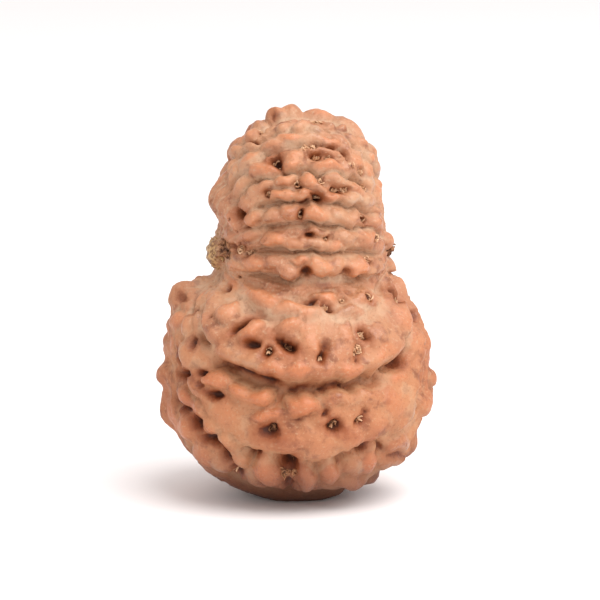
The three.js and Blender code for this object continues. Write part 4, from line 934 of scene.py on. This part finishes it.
@dataclass
class Strands:
    """Curled plant strands as thin tapering tubes, gathered in one piece."""

    name: str
    thickness: float               # radius of a strand at its root, mm
    joints: int = 6                # points along a strand
    paths: list = field(default_factory=list)
    seed: int = 5

    def __post_init__(self) -> None:
        """Starts the row of random draws."""
        self.random = np.random.default_rng(self.seed)

    def curl(self, start: Array, heading: Array, axis: Array, length: float, bend: float,
             thick: float = 1.0) -> None:
        """Adds a strand that turns evenly about an axis.

        Args:
            start: its root, in mm.
            heading: the direction in which it leaves.
            axis: what it turns about.
            length: how long it is, in mm.
            bend: how far it turns in all, in radians.
            thick: its radius as a share of the usual one.
        """
        step, turn = length / (self.joints - 1), bend / (self.joints - 1)
        axis, heading, at = unit(axis), unit(heading), np.array(start, float)
        path = [at]
        for _ in range(self.joints - 1):
            at = at + heading * step
            path.append(at)
            c, s = math.cos(turn), math.sin(turn)
            heading = unit(heading * c + np.cross(axis, heading) * s + axis * np.dot(axis, heading) * (1 - c)
                           + 0.12 * self.random.normal(size=3))
        self.paths.append((np.array(path), thick))

    def build(self, finish: DriedFibre) -> bpy.types.Object:
        """Makes the tubes and turns them into one mesh.

        Args:
            finish: what they are covered with.

        Returns:
            The piece's object.
        """
        curve = bpy.data.curves.new(self.name, "CURVE")
        curve.dimensions = "3D"
        curve.bevel_depth = self.thickness * MM
        curve.bevel_resolution = 0
        curve.use_fill_caps = True
        taper = np.interp(np.linspace(0, 1, self.joints), (0, 0.5, 1), (0.85, 1.0, 0.4))
        for path, thick in self.paths:
            spline = curve.splines.new("POLY")
            spline.points.add(self.joints - 1)
            spline.points.foreach_set("co", np.column_stack([to_row(path), np.ones(self.joints)]).ravel())
            spline.points.foreach_set("radius", taper * thick)
        piece = bpy.data.objects.new(self.name, curve)
        bpy.context.scene.collection.objects.link(piece)
        deselect()
        piece.select_set(True)
        bpy.context.view_layer.objects.active = piece
        bpy.ops.object.convert(target="MESH")
        piece = bpy.context.object
        piece.name = piece.data.name = self.name
        bpy.ops.object.shade_smooth()
        piece.data.materials.clear()
        piece.data.materials.append(finish.build())
        LOG.info("%s: %d strands, %d faces", self.name, len(self.paths), len(piece.data.polygons))
        return piece


@dataclass
class PitFibres:
    """Ends of fibre that still sit in the pits."""

    stone: Stone
    pits: tuple
    strands: Strands

    def build(self, finish: DriedFibre) -> bpy.types.Object:
        """Fills each listed pit with what it holds.

        Args:
            finish: what the fibres are covered with.

        Returns:
            The piece's object.
        """
        for segment, share, across, reach, remains in self.pits:
            self.fill(segment, share, across, reach, remains)
        return self.strands.build(finish)

    def floor_of(self, segment: int, share: float, across: float) -> tuple[Array, Array, Array]:
        """The bottom of a pit, its outward direction and its direction along the segment."""
        k, t, a = np.array([segment]), np.array([share]), np.array([across])
        smooth_point = self.stone.in_segment(k, t, a)
        normal = self.stone.normals(smooth_point)
        skin = self.stone.skin(smooth_point, k, a, self.stone.half_width(k, t), t)
        along = unit(self.stone.in_segment(k, t + 0.01, a) - self.stone.in_segment(k, t - 0.01, a))
        return (smooth_point + normal * skin.height[:, None])[0], normal[0], along[0]

    def fill(self, segment: int, share: float, across: float, reach: float, remains: Remains) -> None:
        """Puts fibres into one pit.

        Args:
            segment: the pit's segment.
            share: its share of the way along.
            across: its place across.
            reach: how far the fibres spread, in mm.
            remains: what the pit holds.
        """
        floor, normal, along = self.floor_of(segment, share, across)
        side = np.cross(normal, along)
        draw = self.strands.random
        if remains is Remains.SPECK:
            for _ in range(3):
                lean = 0.35 * draw.normal(size=3)
                self.strands.curl(floor + 0.1 * reach * draw.normal(size=3), normal + lean,
                                  along + lean, 0.55 + 0.5 * reach, 1.2, 1.9)
            return
        if remains is Remains.RING:
            for i in range(9):
                angle = 2 * math.pi * i / 9 + 0.3 * draw.normal()
                spoke = along * math.cos(angle) + side * math.sin(angle)
                tangent = np.cross(normal, spoke)
                start = floor + spoke * reach * 0.75 + normal * (0.3 + 0.12 * draw.normal())
                self.strands.curl(start, tangent + 0.25 * draw.normal(size=3), normal,
                                  reach * 1.3, 1.5, 1.2)
            return
        for _ in range(30):
            angle = 2 * math.pi * draw.random()
            spoke = along * math.cos(angle) + side * math.sin(angle) * 0.8
            start = floor + spoke * reach * (0.2 + 0.5 * draw.random()) + normal * (0.05 + 0.25 * draw.random())
            self.strands.curl(start, np.cross(normal, spoke) + 0.5 * draw.normal(size=3),
                              normal + 0.6 * draw.normal(size=3), 0.3 + 0.5 * reach,
                              2.4 + draw.random(), 0.8 + 0.8 * draw.random())


@dataclass
class HubFibres:
    """The felt of fibres that closes the hub where the stone sat on its stalk."""

    stone: Stone
    centre: tuple[float, float, float] = (-6.8, 0.2, 21.5)
    radii: tuple[float, float, float] = (0.95, 1.35, 1.5)
    number: int = 420
    strands: Strands = field(default_factory=lambda: Strands("hub_fibres", 0.085, seed=9))

    def build(self, finish: DriedFibre) -> bpy.types.Object:
        """Lays the strands over the plug.

        Args:
            finish: what they are covered with.

        Returns:
            The piece's object.
        """
        draw = self.strands.random
        hub = np.array([[self.stone.hub_left, self.centre[1], self.centre[2]]])
        outward = self.stone.normals(hub)[0]
        while len(self.strands.paths) < self.number:
            spoke = unit(draw.normal(size=3))
            if np.dot(spoke, outward) < -0.1:
                continue
            start = np.array(self.centre) + spoke * np.array(self.radii) * (0.88 + 0.12 * draw.random())
            tangent = unit(np.cross(spoke, draw.normal(size=3)))
            self.strands.curl(start, tangent, spoke + 0.3 * draw.normal(size=3),
                              0.35 + 0.45 * draw.random(), 1.8 + draw.normal(), 0.7 + 0.7 * draw.random())
        return self.strands.build(finish)


@dataclass(frozen=True)
class Studio:
    """Pale floor, soft lights and the camera, in metres."""

    azimuth: float = -12.0         # camera to the left of straight in front, degrees
    elevation: float = 10.0
    distance: float = 0.320
    aim: tuple[float, float, float] = (0.0, 0.0, 17.087)    # in the formula's frame, mm
    lens: float = 221.4
    floor_size: float = 6.0
    sky: str = "F8F5F4"
    sky_strength: float = 0.98

    def build(self) -> None:
        """Makes the floor, the lights and the camera."""
        self.floor()
        self.lights()
        self.camera()

    def direction(self, azimuth: float, elevation: float) -> Array:
        """Direction from the bead at angles in degrees."""
        a, e = math.radians(azimuth), math.radians(elevation)
        return np.array([math.sin(a) * math.cos(e), -math.cos(a) * math.cos(e), math.sin(e)])

    def floor(self) -> None:
        """A wide white sheet."""
        deselect()
        bpy.ops.mesh.primitive_plane_add(size=self.floor_size, location=(0, 0, 0))
        sheet = bpy.context.object
        sheet.name = "floor"
        material = bpy.data.materials.new("white_paper")
        material.use_nodes = True
        shader = material.node_tree.nodes["Principled BSDF"]
        shader.inputs["Base Color"].default_value = linear("F7F4F4")
        shader.inputs["Roughness"].default_value = 0.85
        shader.inputs["Specular IOR Level"].default_value = 0.2
        sheet.data.materials.append(material)

    def lights(self) -> None:
        """A pale sky, a large soft light from the upper right and a weaker one from the left."""
        scene = bpy.context.scene
        world = bpy.data.worlds.new("pale_room")
        scene.world = world
        world.use_nodes = True
        backdrop = world.node_tree.nodes["Background"]
        backdrop.inputs["Color"].default_value = linear(self.sky)
        backdrop.inputs["Strength"].default_value = self.sky_strength
        for name, azimuth, elevation, far, size, power in (
                ("key", 38, 56, 0.45, 0.5, 2.4), ("fill", -60, 25, 0.5, 0.3, 0.05)):
            towards = self.direction(azimuth, elevation)
            deselect()
            bpy.ops.object.light_add(type="AREA", location=tuple(towards * far))
            lamp = bpy.context.object
            lamp.name = name
            lamp.data.shape = "DISK"
            lamp.data.size = size
            lamp.data.energy = power
            lamp.rotation_mode = "QUATERNION"
            lamp.rotation_quaternion = Vector(towards).to_track_quat("Z", "Y")
        scene.view_settings.view_transform = "Standard"

    def camera(self) -> None:
        """A long lens, as close pictures of small things have."""
        back = self.direction(self.azimuth, self.elevation)
        aim = to_row(np.array(self.aim))
        deselect()
        bpy.ops.object.camera_add(location=tuple(aim + back * self.distance))
        camera = bpy.context.object
        camera.name = "camera"
        camera.data.lens = self.lens
        camera.data.sensor_width = 36.0
        camera.data.clip_start = 0.01
        camera.data.clip_end = 20.0
        camera.rotation_mode = "QUATERNION"
        camera.rotation_quaternion = Vector(-back).to_track_quat("-Z", "Y")
        bpy.context.scene.camera = camera


def main() -> None:
    """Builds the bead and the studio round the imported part."""
    logging.basicConfig(level=logging.INFO, format="%(message)s")
    Studio().build()
    stone = Stone()
    bead = FineStone(stone).build(SeedStone())
    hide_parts("rudraksha_bead")
    pale = PitFibres(stone, FIBRE_PITS, Strands("pit_fibres", 0.075, seed=7))
    fibres = pale.build(DriedFibre("pale_fibre", "DDB48E", "A5704A"))
    brown = PitFibres(stone, BROWN_PITS, Strands("hollow_fibres", 0.07, seed=11))
    crumbs = brown.build(DriedFibre("brown_fibre", "A97650", "5E3820"))
    felt = HubFibres(stone).build(DriedFibre("hub_felt", "D2AE78", "8A6236"))
    for piece in (bead, fibres, crumbs, felt):
        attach(piece, "root")


if __name__ == "__main__":
    main()
